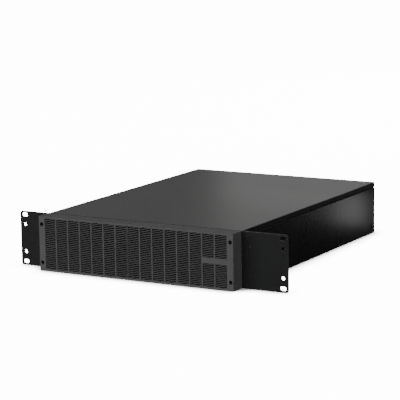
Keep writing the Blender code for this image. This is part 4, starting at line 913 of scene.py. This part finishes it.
def build_bezel():
    """The two halves, whose grilles share one row of columns with the seam between them."""
    left_low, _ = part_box("bezel_left")
    _, right_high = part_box("bezel_right")
    first = left_low[0] + SIDE_STRIP
    seam = first + LEFT_COLUMNS * COLUMN_PITCH
    left_screws = left_low[0] + SIDE_STRIP / 2
    right_screws = right_high[0] - SIDE_STRIP / 2
    halves = (
        ("left", first, LEFT_COLUMNS, 0, left_screws),
        ("right", seam, RIGHT_COLUMNS, BAR_COLUMNS, right_screws),
    )
    for side, first_x, columns, bar_columns, screw_x in halves:
        node = f"bezel_{side}"
        body = f"bezel_{side}_panel"
        windows = list(column_windows(node, first_x, columns, bar_columns))
        bezel_shell(f"{node}_shell", node, body, windows, screw_x)
        screw_wells(f"{node}_screw_wells", node, body, screw_x)
        slats(f"{node}_slats", node, body, windows)


# ------------------------------------------------------------ screws


def hexagon(angle):
    """How far a hexagon's side lies from its axis at an angle, against its corners."""
    sector = math.pi / 3
    return math.cos(sector / 2) / math.cos(angle % sector - sector / 2)


def cap_screw(node, direction, body):
    """A socket-head screw in place of a plainer one: rounded rim, hexagon socket and shank."""
    low, high = (Vector(corner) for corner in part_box(node))
    axis = Vector(direction)
    size = high - low
    length = abs(size.dot(axis))
    radius = max(size[i] for i in range(3) if abs(axis[i]) < 0.5) / 2
    matrix = facing(axis, (low + high) / 2 + axis * length / 2)
    head = min(HEAD_TO_RADIUS * radius, HEAD_TO_LENGTH * length)
    rim, shank, key = RIM * radius, SHANK * radius, KEY * radius
    bm = bmesh.new()
    lathe(
        bm,
        (
            (0, 0),
            (radius - rim, 0),
            (radius - RIM_EASE * rim, -RIM_EASE * rim),
            (radius, -rim),
            (radius, -head),
            (shank, -head),
            (shank, -length + shank / 2),
            (shank / 2, -length),
            (0, -length),
        ),
        matrix,
    )
    screw = piece(f"{node}_cap", bm, OXIDE, body)
    holes = bmesh.new()
    reach = KEY_DEPTH * head
    lathe(holes, ((0, reach), (key, reach), (key, -reach), (0, -reach)), matrix, steps=6)
    cut(screw, holes, node + "_socket")
    smooth(screw)
    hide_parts(node)


def body_of(node):
    """The body that a CAD node moves with."""
    for body, nodes in frame["record"]["behaviour"]["bodies"].items():
        if node in nodes:
            return body
    raise KeyError(node)


def build_screws():
    for name in sorted(frame["nodes"]):
        if name.startswith("bezel_screw"):
            cap_screw(name, FORWARD, body_of(name))
        elif name.startswith(("ear_screw", "case_screw")):
            side = -1 if "left" in name else 1
            cap_screw(name, (side, 0, 0), body_of(name))


# ------------------------------------------------------------ rear fittings


def fan_guard(number, x):
    """Concentric wire rings on two crossed spokes, screwed to the panel at the four corners."""
    node = f"fan_guard_{number}"
    low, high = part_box(node)
    ring_y = high[1] - GUARD_WIRE
    spoke_y = ring_y - GUARD_SPOKE_BACK
    bm = bmesh.new()
    for radius in GUARD_RINGS:
        ring(bm, (x, ring_y, FAN_Z), radius, GUARD_WIRE)
    for sign in (-1, 1):
        ends = [
            Vector((x + side * GUARD_EYE, spoke_y, FAN_Z + sign * side * GUARD_EYE))
            for side in (-1, 1)
        ]
        rod(bm, *ends, GUARD_WIRE, sides=16)
        for end in ends:
            lathe(bm, GUARD_SCREW, facing(REARWARD, (end.x, low[1], end.z)), steps=32)
    guard = piece(f"{node}_wire", bm, DRAWN, "chassis")
    smooth(guard)
    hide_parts(node)


def rotor_hub(bm, x, front, back, axle_end):
    """A cupped hub that narrows at its front, with the end of its axle behind it."""
    lathe(
        bm,
        (
            (0, axle_end - back),
            (AXLE_RADIUS, axle_end - back),
            (AXLE_RADIUS, 0),
            (HUB_RADIUS - HUB_EDGE, 0),
            (HUB_RADIUS, -HUB_EDGE),
            (HUB_RADIUS, front - back + HUB_CROWN),
            (HUB_RADIUS - HUB_EDGE, front - back + HUB_EDGE),
            (HUB_RADIUS - HUB_CROWN, front - back),
            (0, front - back),
        ),
        facing(REARWARD, (x, back, FAN_Z)),
        steps=48,
    )


def blade_section(bm, x, middle, root, along):
    """A blade's closed outline, wrapped round the axis at a share of the way to its tip."""
    radius = HUB_RADIUS - BLADE_OVERLAP + along * (BLADE_TIP - HUB_RADIUS + BLADE_OVERLAP)
    pitch = math.radians(ROOT_PITCH - PITCH_LOSS * along)
    chord = (ROOT_CHORD_MM + CHORD_GAIN_MM * along) * MM
    turn = root + BLADE_SWEEP * along
    outline = [(1, point) for point in range(BLADE_POINTS)]
    outline += [(-1, point) for point in range(BLADE_POINTS - 2, 0, -1)]
    section = []
    for side, point in outline:
        share = point / (BLADE_POINTS - 1)
        arch = math.sin(math.pi * share)
        thick = BLADE_EDGE + BLADE_BELLY * arch * (1 - BELLY_LOSS * share)
        across = (share - 0.5) * chord
        lift = BLADE_CAMBER * arch + side * thick
        round_the_hub = across * math.cos(pitch) - lift * math.sin(pitch)
        y = middle + across * math.sin(pitch) + lift * math.cos(pitch)
        angle = turn + round_the_hub / radius
        place = (x + radius * math.cos(angle), y, FAN_Z + radius * math.sin(angle))
        section.append(bm.verts.new(place))
    return section


def fan_rotor(number, x):
    """Swept blades, thin at the edges, round a cupped hub."""
    node = f"fan_rotor_{number}"
    low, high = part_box(node)
    front, back = low[1], high[1] - AXLE_LENGTH
    bm = bmesh.new()
    rotor_hub(bm, x, front, back, high[1])
    shares = [station / (BLADE_STATIONS - 1) for station in range(BLADE_STATIONS)]
    for blade in range(BLADES):
        root = 2 * math.pi * blade / BLADES
        sections = [blade_section(bm, x, (front + back) / 2, root, along) for along in shares]
        for first, second in zip(sections, sections[1:]):
            bridge(bm, first, second)
        bm.faces.new(sections[0])
        bm.faces.new(sections[-1])
    rotor = piece(f"{node}_blades", bm, BLACK, f"fan_{number}")
    smooth(rotor, angle=50)
    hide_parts(node)


def blocks(name, boxes, paint, edge):
    """Several rounded blocks as one piece on the chassis."""
    bm = bmesh.new()
    for low, high in boxes:
        cuboid(bm, low, high)
    made = piece(name, bm, paint, "chassis")
    soften(made, edge)


def around(middle, half, near, far):
    """The corners of a block round a point of the rear panel."""
    (x, z), (half_x, half_z) = middle, half
    return (x - half_x, near, z - half_z), (x + half_x, far, z + half_z)


def mains_contacts():
    """Three pins in the inlet, and a pair of sprung leaves behind each slot of the outlets."""
    x, z = INLET_MIDDLE
    pins = [around((x + dx, z + dz), PIN_HALF, INLET_FLOOR, PIN_TIP) for dx, dz in INLET_PINS]
    blocks("inlet_pins", pins, BRASS, edge=0.4 * MM)
    leaves = []
    for x, z in OUTLET_MIDDLES:
        for dx, dz in OUTLET_SLOTS:
            for side in (-1, 1):
                place = (x + dx + side * LEAF_OFFSET, z + dz)
                leaves.append(around(place, LEAF_HALF, LEAF_NEAR, LEAF_FAR))
    blocks("outlet_contacts", leaves, BRASS, edge=0.08 * MM)


def serial_pins(bm):
    x, z = SERIAL_MIDDLE
    start, end = SERIAL_PIN_ENDS
    for row, count in SERIAL_ROWS:
        for index in range(count):
            pin_x = x + (index - (count - 1) / 2) * SERIAL_PITCH_MM * MM
            rod(bm, (pin_x, start, z + row), (pin_x, end, z + row), SERIAL_PIN, sides=12)


def usb_contacts(bm):
    x, z = USB_MIDDLE
    out, up = USB_CONTACT_PLACE
    for sign in (-1, 1):
        for side in (-1, 1):
            place = (x + side * out, z + sign * up)
            cuboid(bm, *around(place, USB_CONTACT, PORT_FLOOR, USB_CONTACT_END))


def network_wires(bm):
    low, high = NETWORK_WIRE_HEIGHTS
    start, end = NETWORK_WIRE_ENDS
    for x, z in NETWORK_MIDDLES:
        for index in range(NETWORK_WIRES):
            wire_x = x + (index - (NETWORK_WIRES - 1) / 2) * NETWORK_PITCH_MM * MM
            rod(bm, (wire_x, start, z + low), (wire_x, end, z + high), NETWORK_WIRE, sides=8)


def data_ports():
    """What shows in the ports: pins in a D-shaped shell, a tongue, and rows of sprung wires."""
    bm = bmesh.new()
    serial_pins(bm)
    usb_contacts(bm)
    network_wires(bm)
    contacts = piece("port_contacts", bm, BRASS, "chassis")
    smooth(contacts)
    carriers = (
        around(SERIAL_MIDDLE, SERIAL_CARRIER, PORT_FLOOR, SERIAL_CARRIER_END),
        around(USB_MIDDLE, USB_TONGUE, PORT_FLOOR, USB_TONGUE_END),
    )
    blocks("port_carriers", carriers, PALE, edge=0.3 * MM)
    plates = [
        around(middle, EXPANSION_BLADE, PORT_FLOOR, EXPANSION_BLADE_END)
        for middle in EXPANSION_MIDDLES
    ]
    blocks("expansion_blades", plates, COPPER_PLATE, edge=0.3 * MM)


def thumbscrew(number):
    """A knurled head with a driver's slot, on a shank through the slot cover."""
    node = f"slot_thumbscrew_{number}"
    low, high = (Vector(corner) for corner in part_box(node))
    radius = (high.x - low.x) / 2
    middle = Vector(((low.x + high.x) / 2, high.y, (low.z + high.z) / 2))
    seat = SLOT_COVER_FACE - high.y
    tip = low.y - high.y
    near, far = THUMB_CHAMFER

    def knurl(angle, reach):
        return 1 - KNURL_DEPTH * (1 + math.cos(KNURLS * angle)) if reach > RIM_SHARE * radius else 1

    bm = bmesh.new()
    lathe(
        bm,
        (
            (0, 0),
            (THUMB_CROWN * radius, 0),
            (THUMB_NECK * radius, -near),
            (radius, -far),
            (radius, seat + far),
            (THUMB_NECK * radius, seat + near),
            (THUMB_NECK * radius, seat),
            (THUMB_SHANK, seat),
            (THUMB_SHANK, tip + THUMB_SHANK - THUMB_TIP),
            (THUMB_TIP, tip),
            (0, tip),
        ),
        facing(REARWARD, middle),
        steps=KNURLS * KNURL_STEPS,
        wobble=knurl,
    )
    screw = piece(f"{node}_knurled", bm, DRAWN, "chassis")
    half, depth = DRIVER_SLOT
    holes = bmesh.new()
    cuboid(
        holes,
        middle - Vector((half, depth, 2 * radius)),
        middle + Vector((half, 1 * MM, 2 * radius)),
    )
    cut(screw, holes, node + "_slot")
    smooth(screw, angle=50)
    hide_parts(node)


def thread(length):
    """The outline of a stud cut with a thread over all its length."""
    root = STUD_RADIUS - THREAD_DEPTH
    profile = [(0, 0), (STUD_RADIUS - STUD_TIP, 0)]
    height = -THREAD_DEPTH
    while height > THREAD_PITCH - length:
        profile += [(STUD_RADIUS, height), (root, height - THREAD_PITCH / 2)]
        height -= THREAD_PITCH
    return profile + [(root, -length), (0, -length)]


def ground_stud():
    """A threaded stud with a washer and a hexagon nut."""
    low, high = (Vector(corner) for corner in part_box("ground_stud"))
    x, z = (low.x + high.x) / 2, (low.z + high.z) / 2
    reach = (high.x - low.x) / 2
    bm = bmesh.new()
    lathe(bm, thread(high.y - low.y), facing(REARWARD, (x, high.y, z)), steps=32)
    washer = (
        (STUD_RADIUS, 0),
        (reach, 0),
        (reach, WASHER_HEIGHT),
        (STUD_RADIUS, WASHER_HEIGHT),
        (STUD_RADIUS, 0),
    )
    lathe(bm, washer, facing(REARWARD, (x, WASHER_SEAT, z)), steps=48)
    nut = (
        (STUD_RADIUS, 0),
        (reach, 0),
        (reach, NUT_SHOULDER),
        (NUT_CROWN * reach, NUT_HEIGHT),
        (STUD_RADIUS, NUT_HEIGHT),
        (STUD_RADIUS, 0),
    )

    def flats(angle, radius):
        return hexagon(angle) if radius > RIM_SHARE * reach else 1

    lathe(bm, nut, facing(REARWARD, (x, NUT_SEAT, z)), steps=48, wobble=flats)
    stud = piece("ground_stud_thread", bm, ZINC, "chassis")
    smooth(stud, angle=25)
    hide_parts("ground_stud")


def build_rear():
    for number, x in enumerate(FAN_X, 1):
        fan_guard(number, x)
        fan_rotor(number, x)
        thumbscrew(number)
    mains_contacts()
    data_ports()
    ground_stud()


# ------------------------------------------------------------ softened CAD edges


def soften_frame():
    """Rounded edges where a sheet is bent or a moulding is drawn, and smooth shading elsewhere."""
    for name, obj in frame["nodes"].items():
        if name in EASED:
            soften(obj, EASED[name])
        else:
            smooth(obj)


add_camera()
add_studio()
paint_frame()
soften_frame()
build_bezel()
build_screws()
build_rear()
